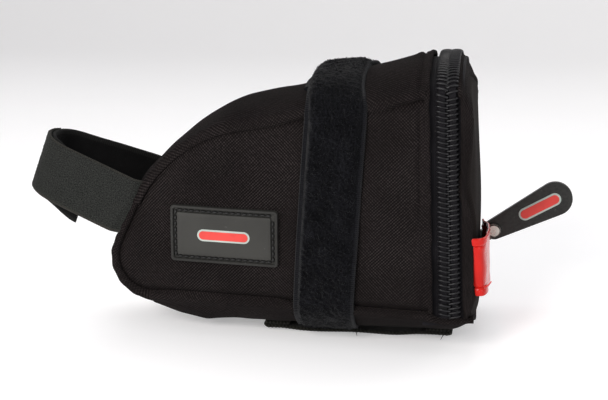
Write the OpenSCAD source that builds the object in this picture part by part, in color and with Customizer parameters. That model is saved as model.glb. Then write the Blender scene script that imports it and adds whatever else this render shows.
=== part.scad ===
// Wedge-shaped saddle bag with a zipped rear lid, a strap round its middle and a loop for the seat post.
// Millimetres. +X points to the rear, -Y to the rider's left and +Z up.
// The origin lies under the main strap, on the keeper that the bag stands on.

/* [Body] */
// Distance from the main strap forward to the corner where the nose and base lines would meet
nose_reach = 98; // [88:1:110]
// Distance from the main strap back to the zip line, at ground level
mouth_reach = 49; // [44:1:60]
// Forward lean of the zip line in degrees
mouth_lean = 2; // [0:0.5:5]
// Height of the side panels at the zip
side_h = 86; // [76:1:96]
// Slope of the upper side seams in degrees
top_slope = 11; // [7:0.5:14]
// Backward lean of the nose in degrees
nose_lean = 25; // [20:1:30]
// Radius of the upper front corner of the side panels
brow_r = 58; // [40:1:64]
// Radius of the lower front corner of the side panels
toe_r = 14; // [11:1:17]
// Width between the side seams at the zip
mouth_w = 73; // [62:1:86]
// Width between the side seams at the nose corner
nose_w = 42; // [36:1:50]
// Rise of the top panel over its seams at the zip
crown_top = 13; // [10:0.5:16]
// Rise of the top panel over its seams where the brow starts
crown_brow = 7.5; // [6:0.5:9]
// Flattening of the top panel in the middle of the brow
brow_dip = 2.5; // [0:0.5:3]
// Forward swell of the nose panel
crown_nose = 5; // [3:0.5:7]
// Drop of the bottom panel under its seams at the toe
crown_toe = 9; // [7:0.5:11]
// Drop of the bottom panel under its seams along the base
crown_low = 14.5; // [12:0.5:16]
// Outward swell of the side panels
side_bulge = 2.5; // [1:0.5:4]
// Thickness of the coated fabric with its backing
fabric_t = 1.6; // [1.2:0.1:2]
// Gap left along each sewn seam
seam_gap = 0.3; // [0.2:0.1:0.5]

/* [Padding] */
// Thickness of the side foam
foam_t = 3; // [2:0.5:4]
// Distance of the foam from the seams
foam_inset = 9; // [8:0.5:10]
// Width of the seam binding tape
binding_w = 7; // [5:0.5:7.5]
// Thickness of the seam binding tape
binding_t = 0.8; // [0.5:0.1:1]
// Thickness of the stiffening boards
board_t = 1.5; // [1:0.25:2]
// Reach of the bottom board in front of the main strap
board_front = 34; // [26:1:40]
// Reach of the bottom board behind the main strap
board_back = 35; // [28:1:36]
// Width of the bottom board
board_w = 30; // [24:1:34]
// Height of the lid's board
lid_board_h = 43; // [36:1:56]

/* [Zip] */
// Distance from the zip line to the hemmed edge of the bag's panels
hem = 8; // [7:0.5:9]
// Width of one half of the zip tape
tape_w = 11; // [10:0.5:12]
// Thickness of the zip tape
tape_t = 0.7; // [0.5:0.1:0.9]
// Room between the fabric and the zip tape under it
tape_play = 1.1; // [0.9:0.1:1.4]
// Width of one row of zip coil
coil_w = 3.4; // [3:0.1:3.8]
// Height of the zip coil over its tape
coil_h = 2.2; // [1.8:0.1:2.5]
// Distance from the zip line to each row of coil
row_gap = 0.9; // [0.8:0.1:1.1]
// Height of the zip's ends above the lower seams
zip_lift = 1; // [0.5:0.5:2]
// Length of the coil's end stops
stop_l = 3; // [2:0.5:4]
// Length of the slider
slider_l = 11; // [10:0.5:12]
// Width of the slider
slider_w = 9.8; // [9.4:0.2:10.4]
// Thickness of the slider's plates
plate_t = 1.1; // [0.9:0.1:1.3]
// Height of the slider on the zip line
slider_z = 24.5; // [24:0.5:30]
// Running clearance between moving pieces
play = 0.3; // [0.25:0.05:0.4]

/* [Lid] */
// Depth of the lid behind the zip line
lid_depth = 8.4; // [8:0.2:11]
// Forward pinch of the top of the lid's rear face
lid_pinch = 2.4; // [1.5:0.1:2.4]
// Fall of the lid's top from the zip to its rear face
lid_fall = 8; // [5:0.5:10]
// Narrowing of the lid on each side from the zip to its rear face
lid_taper = 3; // [2:0.5:5]
// Rearward swell of the rear face
lid_bulge = 1; // [0.5:0.25:2]
// Radius of the rolled tape along the lid's fold
roll_r = 1.2; // [1:0.1:1.4]
// Length of the rolled tape along the lid's fold
roll_l = 40; // [30:1:44]

/* [Light loop] */
// Width of the loop across the lid
loop_w = 58; // [50:1:60]
// Height of the loop's tape
loop_h = 24; // [20:1:26]
// Height of the loop's middle on the lid
loop_z = 38; // [36:1:46]
// Thickness of the loop's tape
loop_t = 0.9; // [0.7:0.1:1.1]
// Standoff of the loop's middle from the lid
loop_rise = 4.8; // [4.6:0.2:6]

/* [Pull] */
// Radius of the swivel pin
pin_r = 1.2; // [1:0.1:1.4]
// Distance between the swivel pin and the tab's rivet
link_l = 18.5; // [17:0.5:22]
// Width of the puller link
link_w = 6; // [5.5:0.5:7]
// Thickness of the puller link
link_t = 1.2; // [1:0.1:1.4]
// Upward angle of the link and tab at rest in degrees
pull_angle = 27.5; // [20:0.5:40]
// Length of the tab from its rivet to the middle of its round end
tab_l = 30; // [24:1:34]
// Width of the tab's round end
tab_w = 15; // [12:0.5:17]
// Width of the tab's narrow end
tab_neck = 9; // [8:0.5:10]
// Thickness of the rubber tab
tab_t = 2.2; // [1.8:0.1:2.6]
// Radius of the rivet's shank
rivet_r = 1.4; // [1.2:0.1:1.6]
// Radius of the rivet's heads
rivet_head_r = 2.4; // [2.2:0.1:2.7]
// Thickness of the pin's and rivet's heads
head_t = 0.8; // [0.6:0.1:1]

/* [Main strap] */
// Width of the hook-and-loop strap
strap_w = 25; // [20:1:28]
// Thickness of the strap
strap_t = 2; // [1.6:0.1:2.2]
// Backward lean of the strap in degrees
strap_lean = 3.5; // [0:0.5:5]
// Gap between the strap and what it lies on
lay_gap = 0.3; // [0.25:0.05:0.4]
// Angle over the top where the right half ends, on the left of the middle
right_end = 30; // [20:1:34]
// Angle over the top where the left half ends, on the right of the middle
left_end = 38; // [30:1:42]
// Height of the left half's lower end above the lower seam
fold_lift = 2.5; // [2.5:0.5:6]
// Reach of the keeper in front of the strap's middle
keeper_front = 29; // [27:1:34]
// Reach of the keeper behind the strap's middle
keeper_back = 43; // [30:1:43]
// Width of the keeper's webbing
keeper_w = 25; // [20:1:28]
// Thickness of the keeper's webbing
keeper_t = 1.6; // [1.3:0.1:1.6]
// Length of each sewn end of the keeper
keeper_end = 8; // [6:0.5:9]

/* [Seat-post strap] */
// Radius of the seat post
post_r = 13.6; // [12.7:0.1:15.8]
// Backward lean of the seat post in degrees
post_lean = 20; // [16:1:24]
// Distance from the nose seam to the seat post's axis
post_reach = 32.5; // [30:0.5:36]
// Height of the strap's middle where it leaves the nose
band_z = 53; // [48:1:58]
// Width of the hook-and-loop band
band_w = 25; // [20:1:26]
// Thickness of the band
band_t = 1.6; // [1.2:0.1:1.8]
// Angle by which the outer band passes the front of the post
band_pass = 12; // [6:1:14]
// Length of the inner band's end that lies inside the outer band
band_tail = 13; // [8:1:18]

/* [Badge] */
// Width of the rubber badge
badge_w = 45; // [40:0.5:50]
// Height of the rubber badge
badge_h = 23.5; // [20:0.5:26]
// Thickness of the rubber badge
badge_t = 1.8; // [1.5:0.1:2.2]
// Distance of the badge's middle in front of the main strap
badge_x = 43.5; // [42:0.5:48]
// Height of the badge's middle
badge_z = 45.5; // [42:0.5:48]
// Width of the badge's raised rim
rim_w = 1.3; // [1:0.1:1.6]
// Width of the stitched groove inside the rim
groove_w = 1.6; // [1.2:0.1:1.8]
// Depth of the stitched groove
groove_d = 0.7; // [0.5:0.1:0.9]
// Corner radius of the badge
badge_r = 2; // [1.6:0.1:3]
// Length of the plain mark moulded on the badge
mark_w = 22; // [16:1:26]
// Height of the plain mark moulded on the badge
mark_h = 5; // [4:0.5:7]
// Height by which the moulded marks stand proud
mark_t = 0.4; // [0.3:0.1:0.6]

/* [Hidden] */
$fn = 48;
line_steps = 8;
arc_steps = 6;
cross_steps = 12;
arch_steps = 24;
tail_lap = 2;
tail_step = 0.2;
lap_start = 68;
lap_run = 24;
fall_share = 0.6;
toe_blend = 5;
swell_power = 4;
pinch_power = 6;
loop_power = 6;
side_steps = 8;
mouth_half = mouth_w / 2;
hem_x = mouth_reach - hem;
lid_hem = slider_w / 2 + play;
seam_low = keeper_t + strap_t + 2 * lay_gap + crown_low;
seam_high = seam_low + side_h;
fold_gap = roll_r + play;
recess = fabric_t + tape_play;
foam_hem = tape_w + foam_inset * sin(top_slope) + seam_gap;
fabric = [0.13, 0.12, 0.12];
webbing = [0.1, 0.1, 0.11];
band_grey = [0.24, 0.25, 0.24];
rubber = [0.22, 0.22, 0.21];
nickel = [0.78, 0.78, 0.76];
loop_red = [0.75, 0.08, 0.1];
foam_grey = [0.35, 0.35, 0.36];
board_white = [0.85, 0.85, 0.83];

// Vectors in the XZ plane
function lerp(a, b, t) = a + (b - a) * t;
function polar(r, angle) = r * [cos(angle), sin(angle)];
function cross_xz(a, b) = a[0] * b[1] - a[1] * b[0];
function meet(p, d, q, e) = p + d * cross_xz(q - p, e) / cross_xz(d, e);
function backwards(list) = [for (k = [len(list) - 1 : -1 : 0]) list[k]];

// A point given by its distance behind the zip line and its height along it
function lid_xz(x, z) = [
    mouth_reach + x * cos(mouth_lean) - z * sin(mouth_lean),
    z * cos(mouth_lean) + x * sin(mouth_lean)
];
function low_on_lid(x) = (seam_low - x * sin(mouth_lean)) / cos(mouth_lean);

// Outline of the side seams: a top line, a round brow, a nose line, a round toe and a base line
lid_up = [-sin(mouth_lean), cos(mouth_lean)];
top_dir = [cos(top_slope), sin(top_slope)];
nose_dir = [sin(nose_lean), cos(nose_lean)];
toe = [-nose_reach, seam_low];
hem_high = lid_xz(-hem, seam_high);
brow = meet(hem_high, top_dir, toe, nose_dir);
brow_turn = 90 - nose_lean - top_slope;
brow_run = brow_r * tan(brow_turn / 2);
brow_start = brow + top_dir * brow_run;
brow_end = brow - nose_dir * brow_run;
brow_centre = brow_start - polar(brow_r, 90 + top_slope);
toe_run = toe_r * tan((90 + nose_lean) / 2);
toe_start = toe + nose_dir * toe_run;
toe_end = toe + [toe_run, 0];
toe_centre = toe_end + [0, toe_r];
nose_angle = 180 - nose_lean;

// Each station holds its point, its outward angle, the angle of its crown and the crown's height
function hem_point(edge) = meet(hem_high, top_dir, lid_xz(-edge, 0), lid_up);
function top_line(edge) = [
    for (k = [0 : line_steps])
        let (t = k / line_steps)
            [
                lerp(hem_point(edge), brow_start, t), 90 + top_slope,
                90 + mouth_lean * (1 - t), lerp(crown_top, crown_brow, t)
            ]
];
brow_arc = [
    for (k = [1 : arc_steps])
        let (t = k / arc_steps, angle = lerp(90 + top_slope, nose_angle, t))
            [
                brow_centre + polar(brow_r, angle), angle,
                lerp(90, nose_angle, t),
                lerp(crown_brow, crown_nose, t) - brow_dip * sin(180 * t)
            ]
];
nose_line = [
    for (k = [0 : 2])
        [lerp(brow_end - nose_dir * seam_gap, toe_start, k / 2), nose_angle, nose_angle, crown_nose]
];
toe_arc = [
    for (k = [1 : arc_steps])
        let (t = k / arc_steps, angle = lerp(nose_angle, 270, t))
            [toe_centre + polar(toe_r, angle), angle, angle, lerp(crown_nose, crown_toe, t)]
];
function base_crown(t) = lerp(crown_toe, crown_low, sin(90 * min(1, toe_blend * t)));
function base_line(edge) = [
    for (k = [0 : line_steps])
        let (t = k / line_steps)
            [
                lerp(toe_end + [seam_gap, 0], lid_xz(-edge, low_on_lid(-edge)), t), 270,
                270 + mouth_lean * t, base_crown(t)
            ]
];

// Half width between the side seams
function half(x) = lerp(nose_w / 2, mouth_half, (x + nose_reach) / (hem_x + nose_reach));
side_yaw = atan((mouth_w - nose_w) / 2 / (hem_x + nose_reach));

// Swell of a side panel, from none at its ends and seams to the most in its middle
function nose_x(z) = (z - seam_low) * tan(nose_lean) - nose_reach;
function swell(x, z, s) = let (
    middle = (hem_x + nose_x(z)) / 2,
    reach = (hem_x - nose_x(z)) / 2
) side_bulge * (1 - s * s) * (1 - pow(min(1, abs(x - middle) / reach), swell_power));

// A point of the gusset, which arches across the bag from seam to seam
function arch_point(point, angle, wide, rise, phi) = [
    point[0] + rise * cos(phi) * cos(angle),
    wide * sin(phi),
    point[1] + rise * cos(phi) * sin(angle)
];
function gusset(stations, out) = [
    for (s = stations)
        [
            for (k = [cross_steps : -1 : -cross_steps])
                arch_point(s[0], s[2], half(s[0][0]) + out, s[3] + out, 90 * k / cross_steps)
        ]
];

// A point of the left side, between two stations of its outline
function inset_point(station, inset) = station[0] - polar(inset, station[1]);
function side_columns(edge, inset) = let (
    upper = concat(top_line(edge), brow_arc, [nose_line[0]]),
    lower = backwards(concat([nose_line[2]], toe_arc, base_line(edge)))
) [
    for (k = [0 : len(upper) - 1])
        [inset_point(upper[k], inset), inset_point(lower[k], inset)]
];
function side_grid(edge, inset, out) = [
    for (column = side_columns(edge, inset))
        [
            for (k = [0 : side_steps])
                let (p = lerp(column[0], column[1], k / side_steps), s = 1 - 2 * k / side_steps)
                    [p[0], -(half(p[0]) + swell(p[0], p[1], s) + out), p[1]]
        ]
];

// A closed solid between an outer and an inner grid of points
module sheet(outer, inner) {
    rows = len(outer);
    cols = len(outer[0]);
    n = rows * cols;
    function id(i, j) = i * cols + j;
    skin = [
        for (i = [0 : rows - 2], j = [0 : cols - 2])
            let (a = id(i, j), b = id(i, j + 1), c = id(i + 1, j + 1), d = id(i + 1, j))
                each [[a, b, c], [a, c, d], [a + n, c + n, b + n], [a + n, d + n, c + n]]
    ];
    row_rims = [
        for (j = [0 : cols - 2])
            let (a = id(0, j), b = id(0, j + 1), c = id(rows - 1, j), d = id(rows - 1, j + 1))
                each [[b, a, a + n], [b, a + n, b + n], [c, d, d + n], [c, d + n, c + n]]
    ];
    col_rims = [
        for (i = [0 : rows - 2])
            let (a = id(i, 0), d = id(i + 1, 0), b = id(i, cols - 1), c = id(i + 1, cols - 1))
                each [[a, d, d + n], [a, d + n, a + n], [c, b, b + n], [c, b + n, c + n]]
    ];
    polyhedron(
        concat([for (row = outer) each row], [for (row = inner) each row]),
        concat(skin, row_rims, col_rims)
    );
}

// Body panels
module left_panel() {
    sheet(side_grid(hem, seam_gap, 0), side_grid(hem, seam_gap, -fabric_t));
}
module left_side_panel() {
    color(fabric) left_panel();
}
module right_side_panel() {
    color(fabric) mirror([0, 1, 0]) left_panel();
}
module top_panel() {
    run = concat(top_line(hem), brow_arc);
    color(fabric) sheet(gusset(run, 0), gusset(run, -fabric_t));
}
module nose_panel() {
    run = concat(nose_line, toe_arc);
    color(fabric) sheet(gusset(run, 0), gusset(run, -fabric_t));
}
module bottom_panel() {
    run = base_line(fold_gap);
    color(fabric) sheet(gusset(run, 0), gusset(run, -fabric_t));
}

// Padding, boards and binding tape inside the body
module left_foam() {
    out = -fabric_t - seam_gap;
    sheet(side_grid(foam_hem, foam_inset, out), side_grid(foam_hem, foam_inset, out - foam_t));
}
module left_side_foam() {
    color(foam_grey) left_foam();
}
module right_side_foam() {
    color(foam_grey) mirror([0, 1, 0]) left_foam();
}
function binding_grid(out) = [
    for (s = concat(top_line(foam_hem), brow_arc, nose_line, toe_arc, base_line(foam_hem)))
        [
            for (inset = [seam_gap, binding_w])
                let (p = inset_point(s, inset)) [p[0], -(half(p[0]) + out), p[1]]
        ]
];
module left_binding() {
    out = -fabric_t - seam_gap;
    sheet(binding_grid(out), binding_grid(out - binding_t));
}
module left_seam_binding() {
    color(webbing) left_binding();
}
module right_seam_binding() {
    color(webbing) mirror([0, 1, 0]) left_binding();
}
module bottom_board() {
    across = board_w / 2 / (half(-board_front) - fabric_t);
    lift = seam_low - (crown_low - fabric_t) * sqrt(1 - across * across) + seam_gap;
    color(board_white) translate([-board_front, -board_w / 2, lift])
        cube([board_front + board_back, board_w, board_t]);
}

// The zip runs up one side of the mouth, over its arch and down the other
module on_lid() {
    translate([mouth_reach, 0, 0]) rotate([0, -mouth_lean, 0]) children();
}
function mouth_arch(out, low) = concat(
    [[mouth_half + out, low]],
    [
        for (k = [0 : arch_steps])
            let (angle = 180 * k / arch_steps)
                [(mouth_half + out) * cos(angle), seam_high + (crown_top + out) * sin(angle)]
    ],
    [[-mouth_half - out, low]]
);
module arch_band(inner, outer, from, to, low) {
    on_lid() translate([from, 0, 0]) rotate([90, 0, 90]) linear_extrude(to - from)
        polygon(concat(mouth_arch(outer, low), backwards(mouth_arch(inner, low))));
}
zip_low = seam_low + zip_lift;
coil_low = zip_low + stop_l;
module body_zip_tape() {
    color(webbing) arch_band(-recess - tape_t, -recess, -tape_w, -row_gap, zip_low);
}
module body_zip_coil() {
    color(fabric) arch_band(-recess, -recess + coil_h, -row_gap - coil_w, -row_gap, coil_low);
}
module lid_zip_tape() {
    color(webbing) arch_band(-recess - tape_t, -recess, row_gap, lid_hem - seam_gap, zip_low);
}
module lid_zip_coil() {
    color(fabric) arch_band(-recess, -recess + coil_h, row_gap, row_gap + coil_w, coil_low);
}
module zip_end_stops() {
    color(nickel) on_lid()
        for (side = [-1, 1])
            translate([-row_gap - coil_w, side * (mouth_half - recess + coil_h / 2) - coil_h / 2, zip_low])
                cube([coil_w, coil_h, stop_l - seam_gap]);
}

// The lid
fold_z = seam_low - crown_low + roll_r;
module lid_fold_roll() {
    color(webbing) on_lid() translate([0, 0, fold_z]) rotate([90, 0, 0])
        cylinder(h = roll_l, r = roll_r, center = true);
}
function lid_edge(angle) = lid_depth - lid_pinch * pow(sin(angle), 2);
function lid_height(angle, fall, thick) = seam_high - fall_share * fall
    + (crown_top - (1 - fall_share) * fall - thick) * sin(angle);
function lid_ring(f, thick) = [
    for (k = [-1 : arch_steps + 1])
        let (
            angle = 180 * min(max(k, 0), arch_steps) / arch_steps,
            on_arch = k >= 0 && k <= arch_steps,
            p = lid_xz(
                lerp(lid_hem, lid_edge(angle), f),
                on_arch ? lid_height(angle, lid_fall * f, thick) : zip_low
            )
        )
            [p[0], -(mouth_half - lid_taper * f * f - thick) * cos(angle), p[1]]
];
module lid_border() {
    steps = [for (k = [0 : 4]) k / 4];
    color(fabric) sheet([for (f = steps) lid_ring(f, 0)], [for (f = steps) lid_ring(f, fabric_t)]);
}
module lid_floor() {
    run = [
        for (x = [fold_gap, lid_depth])
            [lid_xz(x, low_on_lid(x)), 270, 270 + mouth_lean, crown_low]
    ];
    function across(out) = [
        for (s = run)
            [
                for (k = [cross_steps : -1 : -cross_steps])
                    arch_point(s[0], s[2], mouth_half + out, s[3] + out, 90 * k / cross_steps)
            ]
    ];
    color(fabric) sheet(across(0), across(-fabric_t));
}
function rear_x(angle, w) = lerp(lid_depth, lid_edge(angle), pow(w, pinch_power)) + seam_gap
    + lid_bulge * pow(sin(angle), 2) * (1 - pow(2 * w - 1, 2));
function rear_grid(thick) = [
    for (i = [0 : cross_steps])
        let (
            angle = 180 * i / cross_steps,
            low = seam_low - (crown_low - fabric_t) * sin(angle),
            high = lid_height(angle, lid_fall, 0)
        )
            [
                for (j = [0 : side_steps])
                    let (w = j / side_steps, p = lid_xz(rear_x(angle, w) + thick, lerp(low, high, w)))
                        [p[0], -(mouth_half - lid_taper) * cos(angle), p[1]]
            ]
];
module rear_panel() {
    color(fabric) sheet(rear_grid(fabric_t), rear_grid(0));
}
module lid_board() {
    wide = mouth_half - lid_taper - foam_inset;
    color(board_white) on_lid() translate([lid_depth - board_t, -wide, zip_low + foam_inset])
        cube([board_t, 2 * wide, lid_board_h]);
}

// The light loop stands off the rear face in its middle
function loop_grid(thick) = [
    for (i = [0 : 2 * cross_steps])
        let (
            y = loop_w * (i / (2 * cross_steps) - 1 / 2),
            v = y / (mouth_half - lid_taper),
            face = lid_depth + seam_gap + fabric_t + lid_bulge * (1 - v * v),
            stand = seam_gap + loop_rise * (1 - pow(2 * y / loop_w, loop_power))
        )
            [
                for (z = [-loop_h / 2, loop_h / 2])
                    let (p = lid_xz(face + stand + thick, loop_z + z)) [p[0], y, p[1]]
            ]
];
module light_loop() {
    color(loop_red) sheet(loop_grid(loop_t), loop_grid(0));
}

// Slider, swivel pin, link and tab on the right side of the zip
plate_y = mouth_half - recess + coil_h + play;
inner_y = mouth_half - recess - tape_t - play - plate_t;
link_y = plate_y + plate_t + play;
tab_y = link_y + link_t + play;
module on_slider(y) {
    on_lid() translate([0, y, slider_z]) rotate([90, 0, 180]) children();
}
module slider_plate(y) {
    on_slider(y) linear_extrude(plate_t)
        polygon([
            [-slider_w / 2, slider_l / 4], [-slider_w / 3, slider_l / 2],
            [slider_w / 3, slider_l / 2], [slider_w / 2, slider_l / 4],
            [slider_w / 3, -slider_l / 2], [-slider_w / 3, -slider_l / 2]
        ]);
}
module slider_body() {
    color(fabric) {
        slider_plate(plate_y);
        slider_plate(inner_y);
        on_lid() translate([play - row_gap, inner_y, slider_z])
            cube([2 * (row_gap - play), plate_y + plate_t - inner_y, slider_l / 4]);
    }
}
module swivel_pin() {
    color(nickel) on_slider(plate_y + plate_t) {
        cylinder(h = link_t + 2 * play, r = pin_r);
        translate([0, 0, link_t + 2 * play]) cylinder(h = head_t, r = 2 * pin_r);
    }
}
module on_pull(y) {
    on_slider(y) rotate([0, 0, 180 - pull_angle]) children();
}
module bar_plate(length, width, thick) {
    translate([0, -width / 2, 0]) cube([length, width, thick]);
    cylinder(h = thick, r = width / 2);
    translate([length, 0, 0]) cylinder(h = thick, r = width / 2);
}
module puller_link() {
    color(nickel) on_pull(link_y) difference() {
        bar_plate(link_l, link_w, link_t);
        translate([0, 0, -link_t]) cylinder(h = 3 * link_t, r = pin_r + play / 3);
        translate([link_l, 0, -link_t]) cylinder(h = 3 * link_t, r = rivet_r + play / 3);
    }
}
module on_tab(y) {
    on_pull(y) translate([link_l, 0, 0]) children();
}
module pull_tab() {
    slant = asin((tab_w - tab_neck) / 2 / tab_l);
    near = tab_neck / 2 * [sin(slant), cos(slant)];
    wide = tab_w / 2 * [sin(slant), cos(slant)];
    color(rubber) on_tab(tab_y) difference() {
        union() {
            cylinder(h = tab_t, r = tab_neck / 2);
            translate([tab_l, 0, 0]) cylinder(h = tab_t, r = tab_w / 2);
            linear_extrude(tab_t)
                polygon([
                    [-near[0], near[1]], [tab_l - wide[0], wide[1]],
                    [tab_l - wide[0], -wide[1]], [-near[0], -near[1]]
                ]);
        }
        translate([0, 0, -tab_t]) cylinder(h = 3 * tab_t, r = rivet_r + play / 3);
    }
}
module tab_rivet() {
    low = -head_t - play;
    high = tab_y + tab_t - link_y;
    color(nickel) on_tab(link_y) {
        translate([0, 0, low]) cylinder(h = head_t, r = rivet_head_r);
        translate([0, 0, low]) cylinder(h = high - low + head_t, r = rivet_r);
        translate([0, 0, high]) cylinder(h = head_t, r = rivet_head_r);
    }
}
module tab_mark() {
    color(loop_red) on_tab(tab_y - mark_t) translate([tab_l / 2, 0, 0]) bar_plate(tab_l / 2, mark_h, mark_t);
}

// Main strap: each half is a path of points across the bag, repeated along the strap's width
function strap_shift(z) = tan(strap_lean) * (z - (seam_low + seam_high) / 2);
function roof(x) = hem_high[1] + (x - hem_high[0]) * tan(top_slope);
function top_part(x) = (hem_high[0] - x) / (hem_high[0] - brow_start[0]);
function base_part(x) = (x - toe_end[0]) / (hem_x - toe_end[0]);
function strap_top(x, phi, out) = let (
    px = x + strap_shift(roof(x)), t = top_part(px)
) arch_point(
    [px, roof(px)], 90 + mouth_lean * (1 - t), half(px) + out, lerp(crown_top, crown_brow, t) + out, phi
);
function strap_base(x, phi, out) = let (
    px = x + strap_shift(seam_low), t = base_part(px)
) arch_point([px, seam_low], 270 + mouth_lean * t, half(px) + out, base_crown(t) + out, phi);
function strap_side(x, side, s, out) = let (
    z = lerp(seam_low, roof(x + strap_shift(roof(x))), (s + 1) / 2), px = x + strap_shift(z)
) [px, side * (half(px) + swell(px, z, s) + out), z];
strap_xs = [-strap_w / 2, 0, strap_w / 2];
fold_s = 2 * fold_lift / side_h - 1;
function right_half(out) = [
    for (x = strap_xs)
        concat(
            [for (k = [0 : cross_steps]) strap_top(x, lerp(-right_end, 90, k / cross_steps), out)],
            [for (k = [1 : side_steps]) strap_side(x, 1, 1 - 2 * k / side_steps, out)],
            [for (k = [1 : 2 * cross_steps]) strap_base(x, 90 - 180 * k / (2 * cross_steps), out)]
        )
];
function step_up(phi) = (strap_t + lay_gap) * min(1, max(0, (phi + lap_start) / lap_run));
function left_half(out) = [
    for (x = strap_xs)
        concat(
            [for (k = [0 : side_steps]) strap_side(x, -1, lerp(fold_s, 1, k / side_steps), out)],
            [
                for (k = [1 : 2 * cross_steps])
                    let (phi = lerp(-90, left_end, k / (2 * cross_steps)))
                        strap_top(x, phi, out + step_up(phi))
            ]
        )
];
module main_strap_right() {
    color(webbing) sheet(right_half(lay_gap + strap_t), right_half(lay_gap));
}
module main_strap_left() {
    color(webbing) sheet(left_half(lay_gap + strap_t), left_half(lay_gap));
}
module strap_keeper() {
    lift = seam_low - crown_low - lay_gap - keeper_t;
    long = keeper_front + keeper_back;
    flat = keeper_front - strap_w / 2 + strap_shift(seam_low) - lay_gap;
    color(webbing) translate([-keeper_front, keeper_w / 2, 0]) rotate([90, 0, 0]) linear_extrude(keeper_w)
        polygon([
            [0, lift], [keeper_end, lift], [flat, 0], [long - 2 * keeper_end, 0],
            [long - keeper_end, lift], [long, lift], [long, lift + keeper_t],
            [long - keeper_end, lift + keeper_t], [long - 2 * keeper_end, keeper_t],
            [flat, keeper_t], [keeper_end, lift + keeper_t], [0, lift + keeper_t]
        ]);
}

// Seat-post strap: a right inner band that wraps the post and a left outer band that laps over it
band_root = toe + nose_dir * (band_z - seam_low) / cos(nose_lean);
root_y = half(band_root[0]) + play;
outer_r = post_r + band_t + play;
function band_angle(r) = acos(r / norm([root_y, post_reach])) - atan2(post_reach, root_y);
left_angle = band_angle(outer_r);
right_angle = band_angle(post_r);
module on_post() {
    translate([band_root[0], 0, band_root[1]]) rotate([0, post_lean, 0]) rotate([0, 0, 180])
        translate([post_reach, 0, 0]) children();
}
function band_run(r, angle) = (post_reach + r * sin(angle)) / cos(angle);
module band(r, angle, sweep) {
    run = band_run(r, angle);
    rotate([0, 0, angle - 90]) {
        translate([r, -run, -band_w / 2]) cube([band_t, run, band_w]);
        rotate_extrude(angle = sweep) translate([r, -band_w / 2]) square([band_t, band_w]);
    }
}
module seatpost_band_left() {
    color(band_grey) on_post() mirror([0, 1, 0]) band(outer_r, left_angle, 90 - left_angle + band_pass);
}
module seatpost_band_right() {
    color(webbing) on_post() {
        band(post_r, right_angle, 180 - right_angle - left_angle);
        rotate([0, 0, 90 - left_angle]) translate([post_r + tail_step, -tail_lap, tail_step - band_w / 2])
            cube([band_t - 2 * tail_step, band_tail + tail_lap, band_w - 2 * tail_step]);
    }
}

// Badge on the left side
badge_y = half(-badge_x) + swell(-badge_x, badge_z, 0) + seam_gap;
module on_badge(out) {
    translate([-badge_x, -badge_y, badge_z]) rotate([90, 0, -side_yaw]) translate([0, 0, out]) children();
}
module round_plate(w, h, r, thick) {
    translate([-w / 2 + r, -h / 2, 0]) cube([w - 2 * r, h, thick]);
    translate([-w / 2, -h / 2 + r, 0]) cube([w, h - 2 * r, thick]);
    for (x = [-1, 1], y = [-1, 1])
        translate([x * (w / 2 - r), y * (h / 2 - r), 0]) cylinder(h = thick, r = r);
}
module badge() {
    inner_w = badge_w - 2 * rim_w;
    inner_h = badge_h - 2 * rim_w;
    color(rubber) on_badge(0) difference() {
        round_plate(badge_w, badge_h, badge_r, badge_t);
        translate([0, 0, badge_t - groove_d]) difference() {
            round_plate(inner_w, inner_h, badge_r - rim_w / 2, badge_t);
            translate([0, 0, -badge_t])
                round_plate(inner_w - 2 * groove_w, inner_h - 2 * groove_w, badge_r / 2, 3 * badge_t);
        }
    }
}
module badge_mark() {
    color(loop_red) on_badge(badge_t) translate([-(mark_w - mark_h) / 2, 0, 0])
        bar_plate(mark_w - mark_h, mark_h, mark_t);
}

left_side_panel();
right_side_panel();
top_panel();
nose_panel();
bottom_panel();
left_side_foam();
right_side_foam();
left_seam_binding();
right_seam_binding();
bottom_board();
body_zip_tape();
body_zip_coil();
zip_end_stops();
lid_fold_roll();
badge();
badge_mark();
main_strap_right();
strap_keeper();
lid_border();
lid_floor();
rear_panel();
lid_board();
lid_zip_tape();
lid_zip_coil();
light_loop();
slider_body();
swivel_pin();
puller_link();
pull_tab();
tab_rivet();
tab_mark();
main_strap_left();
seatpost_band_left();
seatpost_band_right();
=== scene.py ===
import math

import bpy
import numpy as np
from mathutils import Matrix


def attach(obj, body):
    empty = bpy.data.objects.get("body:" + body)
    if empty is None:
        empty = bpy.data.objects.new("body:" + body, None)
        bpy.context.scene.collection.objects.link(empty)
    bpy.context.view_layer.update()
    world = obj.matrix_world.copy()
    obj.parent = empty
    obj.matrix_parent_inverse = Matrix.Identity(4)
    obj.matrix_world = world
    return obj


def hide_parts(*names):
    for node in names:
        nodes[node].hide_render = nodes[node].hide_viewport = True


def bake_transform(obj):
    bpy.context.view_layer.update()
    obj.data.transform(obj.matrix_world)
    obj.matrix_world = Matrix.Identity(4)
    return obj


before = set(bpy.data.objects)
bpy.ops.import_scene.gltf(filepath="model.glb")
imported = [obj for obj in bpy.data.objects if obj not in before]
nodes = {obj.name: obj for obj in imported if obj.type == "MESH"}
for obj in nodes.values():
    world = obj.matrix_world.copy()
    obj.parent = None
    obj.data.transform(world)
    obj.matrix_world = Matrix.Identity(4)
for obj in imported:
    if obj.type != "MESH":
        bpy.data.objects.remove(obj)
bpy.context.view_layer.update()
mm = 0.001
print("frame loaded:", len(nodes), "nodes")

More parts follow.
